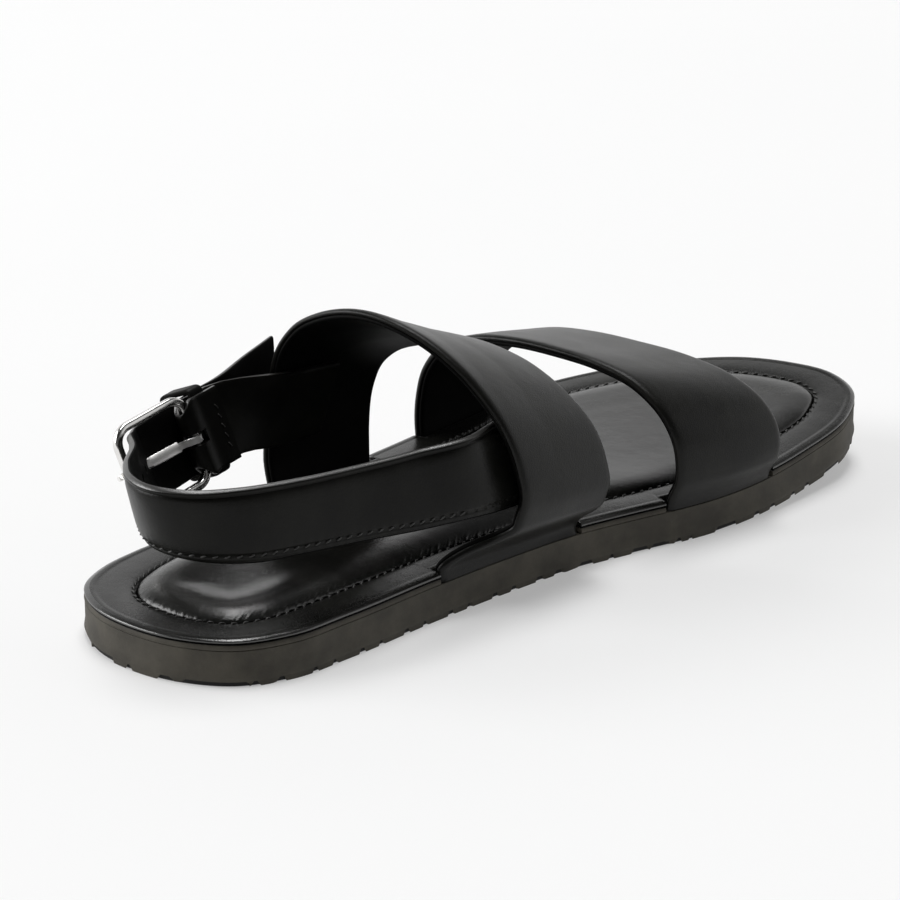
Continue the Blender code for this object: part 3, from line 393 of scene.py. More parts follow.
def columns_at(places, run, rows):
    """Rows of numbers read at places along their run, each column by itself."""
    return np.stack([np.interp(places, run, column) for column in rows.T], axis=-1)


def run_of(points):
    """Distance along a line of points from its start."""
    return np.r_[0, np.cumsum(np.linalg.norm(np.diff(points, axis=0), axis=1))]


def spring(along):
    """Lift of the toe above the floor plane: a power curve from the ball to the tip."""
    share = np.clip((np.asarray(along) / SOLE_LENGTH - SPRING_START) / (1 - SPRING_START), 0, None)
    return TOE_SPRING * share ** SPRING_POWER


def to_world(points, bent=True):
    """Points along, across, up to the model's axes, with the lift of the toe where bent."""
    lift = spring(points[..., 0]) if bent else 0
    along, across, up = (points[..., c] for c in range(3))
    return np.stack([across + ACROSS_SHIFT, ALONG_SHIFT - along, up + lift], axis=-1)


OUTLINE_CURVE = smooth_rows(np.array(OUTLINE) * (SOLE_LENGTH, SOLE_WIDTH), 20, closed=True)
HEEL_INDEX = int(OUTLINE_CURVE[:, 0].argmin())
TOE_INDEX = int(OUTLINE_CURVE[:, 0].argmax())


def outline_sides():
    """The inner and the outer side of the outline, both from heel to toe."""
    ring = np.roll(OUTLINE_CURVE, -HEEL_INDEX, axis=0)
    toe = (TOE_INDEX - HEEL_INDEX) % len(ring)
    return ring[:toe + 1], np.vstack([ring[toe:], ring[:1]])[::-1]


INNER_SIDE, OUTER_SIDE = outline_sides()


def edge_across(along, outer):
    """Across position of the sole's edge on one side."""
    side = OUTER_SIDE if outer else INNER_SIDE
    return np.interp(along, side[:, 0], side[:, 1])


def ring_distance(plan, ring):
    """Distance of plan points from the nearest point of a closed ring."""
    share = np.linspace(0, 1, 7)[:-1, None]
    dense = (ring[:, None] + (np.roll(ring, -1, axis=0) - ring)[:, None] * share).reshape(-1, 2)
    parts = np.array_split(plan, 40)
    return np.concatenate([np.linalg.norm(part[:, None] - dense[None], axis=2).min(axis=1) for part in parts])


def stations(extra=()):
    """Cross rows, closer together at the heel and the toe, with extra rows where a notch starts or ends."""
    heel, toe = INNER_SIDE[0, 0], INNER_SIDE[-1, 0]
    rows = heel + (toe - heel) * (1 - np.cos(np.pi * np.arange(STATIONS + 1) / STATIONS)) / 2
    return np.array(sorted(list(rows) + list(extra)))


def sole_ring(rows, inset):
    """Closed plan ring at an inset from the outline: inner side from heel to toe, outer side back."""
    sides = []
    for outer, side in ((False, INNER_SIDE), (True, OUTER_SIDE)):
        tangent = np.gradient(side, axis=0)
        tangent[0], tangent[-1] = ((0, 1), (0, -1)) if outer else ((0, -1), (0, 1))
        tangent = unit(tangent)
        inward = np.c_[-tangent[:, 1], tangent[:, 0]] * (-1 if outer else 1)
        place = np.c_[rows, np.interp(rows, side[:, 0], side[:, 1])]
        turn = unit(columns_at(rows, side[:, 0], inward))
        depth = inset(rows, outer) if callable(inset) else np.full(len(rows), inset)
        sides.append(place + turn * depth[:, None])
    return np.vstack([sides[0], sides[1][-2:0:-1]])


def grid_quads(rows, columns, closed_rows, closed_columns):
    """Corner numbers of the quads between neighbouring points of a grid."""
    r = np.arange(rows if closed_rows else rows - 1)[:, None]
    c = np.arange(columns if closed_columns else columns - 1)[None]
    after_r, after_c = (r + 1) % rows, (c + 1) % columns
    corners = [r * columns + c, r * columns + after_c, after_r * columns + after_c, after_r * columns + c]
    return np.stack([np.broadcast_to(k, (r.shape[0], c.shape[1])) for k in corners], axis=-1).reshape(-1, 4)


def put(name, data):
    """New object of the scene."""
    thing = bpy.data.objects.new(name, data)
    bpy.context.scene.collection.objects.link(thing)
    return thing


def face_outward(mesh, weld=False):
    """Turn the faces of a mesh outward, after welding points that coincide where asked."""
    shell = bmesh.new()
    shell.from_mesh(mesh)
    if weld:
        bmesh.ops.remove_doubles(shell, verts=shell.verts, dist=1e-7)
    bmesh.ops.recalc_face_normals(shell, faces=shell.faces)
    shell.to_mesh(mesh)
    shell.free()


def piece(name, vertices, faces, finish, body="root", replaces=(), weld=True, lay=None):
    """One mesh object, faces outward; its lay tells the material where each point lies on the leather."""
    mesh = bpy.data.meshes.new(name)
    points = np.asarray(vertices, float).reshape(-1, 3).tolist()
    mesh.from_pydata(points, [], [list(map(int, face)) for face in faces])
    if lay is not None:
        mark = mesh.attributes.new("lay", "FLOAT_VECTOR", "POINT")
        mark.data.foreach_set("vector", np.asarray(lay, np.float32).ravel())
    face_outward(mesh, weld)
    thing = put(name, mesh)
    mesh.materials.append(finish)
    mesh.shade_smooth()
    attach(thing, body)
    if replaces:
        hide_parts(*replaces)
    return thing


def tube(name, grid, finish, closed_rows=False, bent=False, **more):
    """Body whose sections are the rows of a grid: each closes on itself, and the end ones are filled."""
    rows, columns = grid.shape[:2]
    faces = grid_quads(rows, columns, closed_rows, True).tolist()
    if not closed_rows:
        faces += [list(range(columns)), list(range((rows - 1) * columns, rows * columns))]
    return piece(name, to_world(grid, bent), faces, finish, **more)


def sharpen(thing, degrees):
    """Keep edges sharper than an angle crisp."""
    thing.data.set_sharp_from_angle(angle=math.radians(degrees))


def dress(thing, finish, chosen):
    """Give another finish to every face whose corners' lays are all chosen."""
    mesh = thing.data
    mesh.materials.append(finish)
    finishes = np.zeros(len(mesh.polygons), np.int32)
    mesh.polygons.foreach_get("material_index", finishes)
    lay = np.zeros(len(mesh.vertices) * 3, np.float32)
    mesh.attributes["lay"].data.foreach_get("vector", lay)
    corners = np.zeros(len(mesh.loops), np.int32)
    mesh.loops.foreach_get("vertex_index", corners)
    starts = np.zeros(len(mesh.polygons), np.int32)
    mesh.polygons.foreach_get("loop_start", starts)
    inside = np.logical_and.reduceat(chosen(lay.reshape(-1, 3))[corners], starts)
    finishes = np.where(inside, len(mesh.materials) - 1, finishes)
    mesh.polygons.foreach_set("material_index", finishes.astype(np.int32))


def strip_cap(start, count):
    """Cross strips that fill a sole ring, so that it bends at each station."""
    half = count // 2
    k = np.arange(1, half - 1)
    quads = np.stack([start + k, start + k + 1, start + count - k - 1, start + count - k], axis=-1).tolist()
    heel, toe = [start, start + 1, start + count - 1], [start + half - 1, start + half, start + half + 1]
    return [heel] + quads + [toe]


class Value:
    """Output of a shader node; arithmetic on it adds Math nodes to its tree."""

    def __init__(self, tree, port):
        self.tree, self.port = tree, port

    def math(self, operation, *others):
        """Math node of an operation on this value and others."""
        values = {k: other for k, other in enumerate((self,) + others)}
        return self.tree.node("ShaderNodeMath", {"operation": operation}, values)

    def __add__(self, other):
        return self.math("ADD", other)

    def __mul__(self, other):
        return self.math("MULTIPLY", other)

    def __sub__(self, other):
        return self.math("SUBTRACT", other)

    def __rsub__(self, other):
        return self.tree.node("ShaderNodeMath", {"operation": "SUBTRACT"}, {0: other, 1: self})

    def step(self, low, high, start=0.0, end=1.0):
        """Start below low, end above high and a soft ramp between."""
        values = {"Value": self, "From Min": low, "From Max": high, "To Min": start, "To Max": end}
        return self.tree.node("ShaderNodeMapRange", {"interpolation_type": "SMOOTHSTEP"}, values)


class Nodes:
    """The nodes of a tree, and the one method that adds any of them."""

    def __init__(self, tree):
        self.tree = tree

    def fill(self, socket, value):
        """Put a number in a socket, or link an output to it."""
        if isinstance(value, Value):
            self.tree.links.new(value.port, socket)
        else:
            socket.default_value = value

    def node(self, kind, settings=None, values=None, out=0):
        """Add a node: its settings, then numbers or links of its sockets; gives one of its outputs."""
        made = self.tree.nodes.new(kind)
        for key, value in (settings or {}).items():
            setattr(made, key, value)
        for key, value in (values or {}).items():
            self.fill(made.inputs[key], value)
        return Value(self, made.outputs[out])


class Finish(Nodes):
    """A material: its Principled shader with constant sockets, and nodes for what varies."""

    def __init__(self, name, **constants):
        self.material = bpy.data.materials.new(name)
        self.material.use_nodes = True
        super().__init__(self.material.node_tree)
        self.shader = self.tree.nodes["Principled BSDF"]
        for socket, value in constants.items():
            self.shader.inputs[socket.replace("_", " ")].default_value = value
        self.place = self.node("ShaderNodeTexCoord", out="Object")

    def lay(self):
        """The three numbers of the lay: distance along, distance across and depth or share."""
        lay = self.node("ShaderNodeAttribute", {"attribute_name": "lay"}, out="Vector")
        split = self.tree.nodes.new("ShaderNodeSeparateXYZ")
        self.fill(split.inputs[0], lay)
        return [Value(self, port) for port in split.outputs]

    def set(self, socket, value):
        """Give an input of the Principled shader a number or a link."""
        self.fill(self.shader.inputs[socket], value)

    def noise(self, scale, detail=2.0, roughness=0.5):
        """Noise of a scale in cells a metre."""
        values = {"Vector": self.place, "Scale": scale, "Detail": detail, "Roughness": roughness}
        return self.node("ShaderNodeTexNoise", None, values)

    def cells(self, scale):
        """Distance to the edge in a pattern of a scale in cells a metre."""
        values = {"Vector": self.place, "Scale": scale}
        return self.node("ShaderNodeTexVoronoi", {"feature": "DISTANCE_TO_EDGE"}, values)

    def blend(self, share, first, second):
        """Colour between two others."""
        mix = self.tree.nodes.new("ShaderNodeMix")
        mix.data_type = "RGBA"
        for key, value in ((0, share), (6, first), (7, second)):
            if isinstance(value, tuple):
                value = (*value, 1.0)
            self.fill(mix.inputs[key], value)
        return Value(self, mix.outputs[2])

    def relief(self, height):
        """Bump of a height in metres on the Normal socket."""
        values = {"Height": height, "Distance": 1.0, "Strength": 1.0}
        self.set("Normal", self.node("ShaderNodeBump", None, values))


def leather(name, rough=0.40, gloss=0.20, grain=1.0, rows=None):
    """Black smooth leather: near-black tone with faint cloudiness, fine pores and cells, soft waxed sheen.

    Rows works out a further relief and a share of lighter tone from the lay of the points: a painted
    highlight.
    """
    finish = Finish(name, Specular_IOR_Level=gloss)
    cloud = finish.noise(70, 3.0)
    pores = finish.cells(1500)
    fine = finish.noise(3200, 2.0)
    tone = finish.blend(cloud.step(0.35, 0.7), (0.0040, 0.0040, 0.0034), (0.0074, 0.0074, 0.0062))
    height = pores.step(0.0, 0.35) * (0.000016 * grain) + fine * (0.000010 * grain)
    height = height + finish.noise(160, 3.0) * 0.00010
    finish.set("Roughness", cloud * 0.10 + fine * 0.10 + (rough - 0.10))
    if rows:
        relief, painted_highlight_share = rows(finish)
        height = height + relief
        # Lighter tone of a painted highlight, in the share that rows gives
        tone = finish.blend(painted_highlight_share, tone, (0.030, 0.029, 0.027))
    finish.set("Base Color", tone)
    finish.relief(height)
    return finish.material


def lining(name):
    """Matte black lining leather: very dark, with short nap."""
    finish = Finish(name, Specular_IOR_Level=0.05)
    nap = finish.noise(2600, 3.0)
    finish.set("Base Color", finish.blend(nap, (0.0016, 0.0016, 0.0015), (0.0036, 0.0036, 0.0034)))
    finish.set("Roughness", nap * 0.10 + 0.55)
    finish.relief(nap * 0.00003 + finish.noise(150, 3.0) * 0.00010)
    return finish.material


def waves(along, pitch, shift=0.0):
    """Sine waves of a pitch along a distance."""
    return (along * (2 * math.pi / pitch) + shift).math("SINE")


def strap_rows(finish):
    """Back strap: sewn channel with a hole at each stitch, raised hem below it, and a painted highlight as
    lighter tone on its lower edge.
    """
    along, up, depth = finish.lay()
    wander = finish.noise(60, 2.0) * 0.0006 - 0.0003
    beside = (up + wander - (BACK_ROW - 0.00005)).math("ABSOLUTE")
    channel = 1 - beside.step(0.0002, 0.0011)
    beat = waves(along, STITCH_PITCH)
    holes = (1 - beside.step(0.0001, 0.0006)) * beat.step(0.55, 1.0)
    hem = 1 - up.step(0.0012, 0.0024)
    pucker = waves(along, STITCH_PITCH, 1.2) * (1 - beside.step(0.0006, 0.0040))
    relief = channel * -0.00022 + holes * -0.00030 + hem * 0.00006 + pucker * 0.00003
    # Lower edge of the strap, lighter in tone as a painted highlight
    edge = (1 - up.step(0.0004, 0.0010)) * depth.step(0.0012, 0.0015)
    return relief, edge * 0.55


def seam_rows(finish):
    """Seam of the footbed: short gathers that run square to it and fade out over the pad."""
    along, inset, fade = finish.lay()
    sway = finish.noise(90, 2.0) * 5.0
    gather = waves(along, GATHER_PITCH, sway) * 0.5 + 0.5
    second = waves(along, 1.63 * GATHER_PITCH, sway * 1.6) * 0.5 + 0.5
    past = inset - PAD_INSET
    near = (1 - past.step(0.0002, 0.0026)) * past.step(-0.0005, -0.0001)
    return gather * second * near * fade * 0.00009, 0.0


def painted(finish):
    """No relief of its own, and a lighter tone: a painted highlight on a strap's edge."""
    return 0.0, 0.45


def rubber(name):
    """Matte brown-black rubber: faint cloudiness, moulded fine texture, ribs on the tread faces, near-black
    painted shade on the ridge behind the nicks.
    """
    finish = Finish(name, Specular_IOR_Level=0.35)
    cloud = finish.noise(75, 5.0, 0.6)
    fine = finish.noise(1800, 3.0)
    ribs_and_shade = finish.node("ShaderNodeAttribute", {"attribute_name": "tread"}, out="Fac")
    position = finish.node("ShaderNodeSeparateXYZ", None, {0: finish.place})
    wave = waves(position, RIB_PITCH) * 0.5 + 0.5
    tone = finish.blend(cloud.step(0.3, 0.75), (0.036, 0.0322, 0.0246), (0.068, 0.0612, 0.0468))
    # Near-black painted shade where the mark is negative: the ridge behind the nicks
    finish.set("Base Color", finish.blend((ribs_and_shade * -1).step(0, 0.6), tone, (0.002, 0.002, 0.002)))
    finish.set("Roughness", fine * 0.16 + 0.60)
    finish.relief(fine * 0.00004 + cloud * 0.0002 + wave.step(0.15, 0.75) * ribs_and_shade.step(0, 1) * 0.00022)
    return finish.material


def thread(name):
    """Waxed black thread, a little lighter than the leather, with the twist of its strands."""
    finish = Finish(name, Specular_IOR_Level=0.5)
    fine = finish.noise(2500, 2.0)
    finish.set("Base Color", finish.blend(fine.step(0.3, 0.7), (0.012, 0.012, 0.011), (0.032, 0.032, 0.030)))
    finish.set("Roughness", fine * 0.15 + 0.38)
    finish.relief(fine * 0.00006)
    return finish.material


def polished(name, rough, tone=0.79):
    """Polished nickel: bright metal with faint brushing and tiny dents."""
    finish = Finish(name, Metallic=1.0)
    dark, light = ((share * tone, share * tone * 0.99, share * tone * 0.97) for share in (0.92, 1.08))
    finish.set("Base Color", finish.blend(finish.noise(300, 2.0), dark, light))
    finish.set("Roughness", finish.noise(900, 3.0) * 0.12 + (rough - 0.05))
    finish.relief(finish.noise(500, 2.0) * 0.00003)
    return finish.material


SOLE_FINISH = rubber("sole_rubber_finish")
FOOTBED_FINISH = leather("footbed_leather_finish", rough=0.28, gloss=0.29, rows=seam_rows)
PAD_FINISH = leather("pad_leather_finish", rough=0.24, gloss=0.52, rows=seam_rows)
STRAP_FINISH = leather("strap_leather_finish", rough=0.34, gloss=0.19, grain=1.6)
BACK_FINISH = leather("back_strap_leather_finish", rough=0.33, gloss=0.135, grain=1.4, rows=strap_rows)
SHORT_FINISH = leather("short_strap_leather_finish", rough=0.36, gloss=0.10)
# Strap edges: glossier, and lighter in tone as a painted highlight
EDGE_HIGHLIGHT_FINISH = leather("edge_leather_highlight_finish", rough=0.34, gloss=1.0, rows=painted)
BEAD_FINISH = leather("bead_leather_finish", rough=0.21, gloss=1.0)
LINING_FINISH = lining("lining_finish")
THREAD_FINISH = thread("thread_finish")
FRAME_FINISH = polished("frame_metal_finish", 0.18)
PRONG_FINISH = polished("prong_metal_finish", 0.30, tone=0.90)


def strap_feet():
    """Where each strap stands on the sole's edge: side, first and last along position."""
    rows = []
    for ribs in (INSTEP_RIBS, TOE_RIBS):
        rows.append((False, ribs[0][2] * SOLE_LENGTH, ribs[0][3] * SOLE_LENGTH))
        rows.append((True, ribs[-1][2] * SOLE_LENGTH, ribs[-1][3] * SOLE_LENGTH))
    return rows


def notch(rows, outer):
    """How far the rim is let in beside each strap: a box with soft corners."""
    depth = np.zeros(len(rows))
    for side, first, last in strap_feet():
        if side == outer:
            inside = soft((rows - first + 3 * GAP) / (2 * GAP)) * soft((last + 3 * GAP - rows) / (2 * GAP))
            depth = np.maximum(depth, inside * (STRAP_THICK + 2 * GAP))
    return depth


def heel_extra(rows, outer):
    """Extra width of the rim at the outer corner of the heel."""
    full, start, end = HEEL_CORNER
    return HEEL_EXTRA * soft(rows / full) * (1 - soft((rows - start) / (end - start))) * outer


def inset_share(share):
    """Inset of a share of the rim's width beside the notches."""
    def inset(rows, outer):
        let_in = notch(rows, outer)
        return let_in + share * (RIM_WIDTH + heel_extra(rows, outer) - let_in)
    return inset


def beyond_outline(points):
    """How far plan points lie outside the sole's outline, and the outward direction there."""
    nearest = np.linalg.norm(points[:, None] - OUTLINE_CURVE[None], axis=2).argmin(axis=1)
    return np.einsum("ij,ij->i", points - OUTLINE_CURVE[nearest], OUTWARD[nearest]), OUTWARD[nearest]


def outline_outward():
    """Outward direction at each point of the outline."""
    tangent = unit(np.gradient(OUTLINE_CURVE, axis=0))
    outward = np.c_[tangent[:, 1], -tangent[:, 0]]
    from_middle = OUTLINE_CURVE - OUTLINE_CURVE.mean(axis=0)
    return outward * np.sign(np.einsum("ij,ij->i", outward, from_middle))[:, None]


OUTWARD = outline_outward()


def lug_ring(lug):
    """Outline of a lug with its corners cut twice, and its outward directions."""
    ring = np.array(lug) / 1000
    for _ in range(2):
        after = np.roll(ring, -1, axis=0)
        first, second = (1 - LUG_CUT) * ring + LUG_CUT * after, LUG_CUT * ring + (1 - LUG_CUT) * after
        ring = np.stack([first, second], axis=1).reshape(-1, 2)
    side = unit(np.roll(ring, -1, axis=0) - np.roll(ring, 1, axis=0))
    out = np.c_[side[:, 1], -side[:, 0]]
    return ring, out * np.sign(np.sum(out * (ring - ring.mean(axis=0))))


def make_outsole():
    """Rubber slab with an upright wall, and lugs below it that are cut off straight at the outline; the ridge
    behind the nicks is marked for near-black painted shade.
    """
    rows = stations()
    wall = smooth_rows(WALL, 2)
    count = 2 * len(rows) - 2
    grid = np.array([to_world(np.c_[sole_ring(rows, inset), np.full(count, up)]) for inset, up in wall])
    faces = grid_quads(len(grid), count, False, True).tolist()
    faces += strip_cap(0, count) + strip_cap((len(grid) - 1) * count, count)
    blocks, start = [grid.reshape(-1, 3)], len(grid) * count
    # Wall rows of the ridge behind the nicks, coloured near-black as painted shade
    painted_shade_rows = (wall[:, 0] > RIDGE_INSET) & (wall[:, 1] < RIDGE_TOP)
    ribs_and_shade = [np.repeat(np.where(painted_shade_rows, -1.0, 0.0), count)]
    cells = range(-1, int(SOLE_LENGTH / CELL_LENGTH) + 2)
    places = [(i * CELL_LENGTH, j * CELL_WIDTH) for i in cells for j in range(-2, 2)]
    for ring, out in map(lug_ring, LUGS):
        size = len(ring)
        for place in np.array(places):
            depth = -beyond_outline(ring + place)[0]
            if (depth > LEAST_LUG).sum() < 3:
                continue
            near = soft(1 - np.abs(depth) / NICK_REACH)[:, None]
            for grow, up in LUG_LAYERS:
                points = ring + place + out * (grow - NICK * near * max(0, 1 - up / GROOVE_DEPTH))
                beyond, outward = beyond_outline(points)
                points = points - outward * np.maximum(beyond, 0)[:, None]
                blocks.append(to_world(np.c_[points, np.full(size, up)]))
            faces += (start + grid_quads(3, size, False, True)).tolist()
            faces += [list(range(start, start + size)), list(range(start + 2 * size, start + 3 * size))]
            ribs_and_shade.append(np.r_[np.ones(size), np.zeros(2 * size)])
            start += 3 * size
    thing = piece("outsole_rubber", np.vstack(blocks), faces, SOLE_FINISH, replaces=["outsole"], weld=False)
    mark = thing.data.attributes.new("tread", "FLOAT", "POINT")
    mark.data.foreach_set("value", np.concatenate(ribs_and_shade).astype(np.float32))
    sharpen(thing, 35)


def make_footbed():
    """Leather-covered rim: edge bead and dome carried round the outline, let in beside the straps."""
    near = np.array([-4, -3, -2, -1, 0, 1, 4]) * GAP
    extra = [e + s * n for _, first, last in strap_feet() for e, s in ((first, 1), (last, -1)) for n in near]
    rows = stations(extra)
    rings, lays = [], []
    for inset, up in smooth_rows(RIM, 3):
        plan = sole_ring(rows, inset_share(inset / RIM_WIDTH))
        rings.append(np.c_[plan, np.full(len(plan), up)])
        lays.append(ring_lay(plan, inset if up > BOARD_TOP else -1.0))
    grid, lay = (np.swapaxes(np.array(part), 0, 1) for part in (rings, lays))
    more = {"replaces": ["footbed"], "lay": lay}
    thing = tube("footbed_rim", grid, FOOTBED_FINISH, closed_rows=True, bent=True, **more)
    dress(thing, BEAD_FINISH, lambda lay: lay[:, 1] < BEAD_INSET)
    dress(thing, SOLE_FINISH, lambda lay: lay[:, 1] < -0.5)
    sharpen(thing, 60)
    plan = sole_ring(stations(), inset_share(SEAM_SHARE))
    inner = sole_ring(stations(), inset_share(SEAM_SHARE + 0.05))
    up = np.interp(SEAM_SHARE * RIM_WIDTH, *RIM[RIM_TOP_ROW:].T)
    row = np.c_[plan, np.full(len(plan), up)]
    normals = np.c_[unit(inner - plan) * SEAM_LEAN, np.ones(len(plan))]
    row, normals = (np.vstack([part, part[:1]]) for part in (row, normals))
    stitches("footbed_stitches", row, normals, bent=True)


def ring_lay(plan, inset):
    """Lay of a ring: distance from the heel, negative on the inner side, inset, fade at the toe."""
    half = len(plan) // 2
    run = run_of(np.vstack([plan, plan[:1]]))
    along = np.r_[-run[:half + 1], run[-1] - run[half + 1:-1]]
    fade = soft((GATHERS_END[1] - plan[:, 0]) / (GATHERS_END[1] - GATHERS_END[0]))
    return np.c_[along, np.full(len(plan), inset), fade]


def pad_height(plan, inside):
    """Top of the pad: its table blended from heel to forefoot, and a low arch."""
    along, across = plan[:, 0] / SOLE_LENGTH, plan[:, 1] / SOLE_WIDTH
    fore = soft((along - PAD_FORE[0]) / (PAD_FORE[1] - PAD_FORE[0]))
    table = smooth_rows(PAD_TOP, 8)
    heel, ball = (np.interp(inside, table[:, 0], table[:, c]) for c in (1, 2))
    height, full, middle_along, reach_along, middle_across, reach_across = PAD_ARCH
    away = ((along - middle_along) / reach_along) ** 2 + ((across - middle_across) / reach_across) ** 2
    return heel + (ball - heel) * fore + height * soft(inside / full) * np.exp(-away)


def make_pad():
    """Padded insole inside the rim: rings of points at growing insets, and cross rows over the middle."""
    rows = stations()
    insets = PAD_INSET + PAD_RINGS
    plans = [sole_ring(rows, lambda rows, outer: inset + heel_extra(rows, outer)) for inset in insets]
    rings = [np.c_[plans[0], np.full(len(plans[0]), PAD_LOW)]]
    rings += [np.c_[plan, pad_height(plan, ring_distance(plan, plans[0]))] for plan in plans]
    count = len(plans[0])
    half = count // 2
    vertices = np.vstack(rings)
    faces = grid_quads(len(rings), count, False, True).tolist() + strip_cap(0, count)
    k = np.arange(1, half)
    inner, outer = rings[-1][k], rings[-1][count - k]
    share = np.linspace(0, 1, PAD_FILL_ROWS)[1:-1]
    across = inner[:, None, :2] + (outer - inner)[:, None, :2] * share[None, :, None]
    flat = across.reshape(-1, 2)
    fill = np.c_[flat, pad_height(flat, ring_distance(flat, plans[0]))]
    base = (len(rings) - 1) * count
    start = len(vertices)
    ids = np.c_[base + k, start + np.arange(len(k) * len(share)).reshape(len(k), -1), base + count - k]
    corners = [ids[:-1, :-1], ids[:-1, 1:], ids[1:, 1:], ids[1:, :-1]]
    quads = np.stack(corners, axis=-1).reshape(-1, 4).tolist()
    quads += [[base] + ids[0].tolist()[::-1], [base + half] + ids[-1].tolist()]
    vertices = np.vstack([vertices, fill])
    lays = [ring_lay(plans[0], PAD_INSET)] + [ring_lay(*pair) for pair in zip(plans, insets)]
    lay = np.vstack(lays + [np.tile(PAD_MIDDLE, (len(fill), 1))])
    faces += quads
    thing = piece("insole_padding", to_world(vertices), faces, PAD_FINISH, replaces=["insole_pad"], lay=lay)


def crown_height(along):
    """Height of the straps' crown over their foot."""
    table = np.array(CROWN)
    height = np.interp(along / SOLE_LENGTH, table[:, 0], table[:, 1]) * INSTEP_HEIGHT
    return height - OUTSOLE_THICK - GAP


def breadth(along, share, outer, half):
    """Half breadth of a strap at a share of its height: the sole's edge at the foot, then its own."""
    edge = np.abs(edge_across(along, outer))
    return edge + (half(along) - edge) * soft(share / FOOT_BLEND)


INSTEP_HALVES = {False: lambda along: INSTEP_HALF_INNER, True: lambda along: INSTEP_HALF_OUTER}
TOE_HALVES = {
    False: lambda along: np.abs(edge_across(along, False)) + TOE_BULGE_INNER,
    True: lambda along: np.abs(edge_across(along, True)) + TOE_BULGE_OUTER,
}


def band_face(ribs, shares, halves):
    """Outer face of a wide strap on every rib, at shares of its width from rear to front."""
    rows = []
    for side, share, rear, front in ribs:
        along = (rear + (front - rear) * shares) * SOLE_LENGTH
        across = side * breadth(along, share, side > 0, halves[bool(side > 0)])
        rows.append(np.stack([along, across, OUTSOLE_THICK + GAP + share * crown_height(along)], axis=-1))
    return np.array(rows)


def make_band(name, ribs, halves, node, folds):
    """Wide strap: a rounded two-layer section carried over its ribs, square to its face."""
    ribs = smooth_rows(ribs, 8)
    widths = (ribs[:, 3] - ribs[:, 2]) * SOLE_LENGTH
    shares = np.linspace(0, 1, BAND_COLUMNS)
    centre = BAND_COLUMNS // 2
    face = band_face(ribs, shares, halves)
    normal = unit(np.cross(np.gradient(face, axis=0), np.gradient(face, axis=1)))
    normal *= 1 if normal[len(ribs) // 2, centre, 2] > 0 else -1
    normal[0], normal[-1] = (0, -1, 0), (0, 1, 0)
    edge = smooth_rows(BAND_EDGE, 2)
    middle = np.linspace(0, 1, BAND_FILL)[1:-1]
    none, flat = np.zeros(len(edge)), np.zeros(len(middle))
    front = np.r_[none, flat, none + 1, flat] > 0
    insets = np.r_[edge[::-1, 0], flat, edge[:, 0], flat]
    depths = np.r_[edge[::-1, 1], flat, edge[:, 1], flat + STRAP_THICK]
    part = np.r_[none, middle, none, middle[::-1]]
    grid = []
    fade = np.sin(np.pi * np.linspace(0, 1, len(ribs)))
    run = run_of(face[:, centre])
    for row, width in enumerate(widths):
        reach = BAND_EDGE[0, 0] / width
        at = np.where(front, 1 - insets / width, insets / width)
        at = np.where(part > 0, reach + (1 - 2 * reach) * part, at)
        base, turn = columns_at(at, shares, face[row]), unit(columns_at(at, shares, normal[row]))
        crown = STRAP_CROWN * np.sin(np.pi * np.clip(at, 0, 1)) * fade[row]
        relief = creases(run[row], at, folds) * min(1.0, 4 * fade[row])
        grid.append(base + turn * (crown + relief - depths)[:, None])
    lay = np.stack(np.broadcast_arrays(run[:, None], insets[None], depths[None]), axis=-1)
    thing = tube(name, np.array(grid), STRAP_FINISH, bent=True, replaces=[node], lay=lay)
    dress(thing, LINING_FINISH, lambda lay: lay[:, 2] > LINING_SHARE * STRAP_THICK)
    sharpen(thing, 50)


def instep_across(along, up, outer, depth=0.0):
    """Across position of the instep strap's outer face at one height, or of a face at a depth inside it."""
    ribs = smooth_rows(INSTEP_RIBS, 4)
    ribs = ribs[ribs[:, 0] > 0.2][::-1] if outer else ribs[ribs[:, 0] < -0.2]
    across = ribs[:, 0] * breadth(along, ribs[:, 1], outer, INSTEP_HALVES[outer])
    line = np.c_[across, OUTSOLE_THICK + GAP + ribs[:, 1] * crown_height(along)]
    tangent = unit(np.gradient(line, axis=0))
    line += np.c_[tangent[:, 1], -tangent[:, 0]] * (-depth if outer else depth)
    return float(np.interp(up, line[:, 1], line[:, 0]))


# Depth of what is sewn inside the instep strap, radius of the short strap's fold round the bar, and distance
# of the tail's outer face from the bar
LAP_DEPTH = 1.08 * (STRAP_THICK + STRAP_CROWN) + GAP
WRAP_RADIUS = BAR_RADIUS + 1.25 * GAP + BUCKLE_STRAP_THICK / 2
TAIL_OUT = WRAP_RADIUS + BUCKLE_STRAP_THICK / 2 + 2 * GAP + BACK_THICK


def buckle_axes():
    """Place of the buckle's bar, and its directions toward the heel, outward and up."""
    flare, tilt, lean = math.radians(BUCKLE_FLARE), math.radians(BUCKLE_TILT), math.radians(BUCKLE_LEAN)
    back = np.array([-math.cos(flare) * math.cos(tilt), math.sin(flare) * math.cos(tilt), -math.sin(tilt)])
    out = unit(np.cross(back, np.array([0.0, math.sin(lean), math.cos(lean)])))
    return np.array([BUCKLE_BAR_ALONG, BUCKLE_BAR_ACROSS, BUCKLE_BAR_UP]), back, out, np.cross(out, back)


BAR_PLACE, BACK_WAY, OUT_WAY, UP_WAY = buckle_axes()


def buckle_point(back, out, up):
    """A point given from the middle of the buckle's bar: toward the heel, outward, up."""
    return BAR_PLACE + back * BACK_WAY + out * OUT_WAY + up * UP_WAY


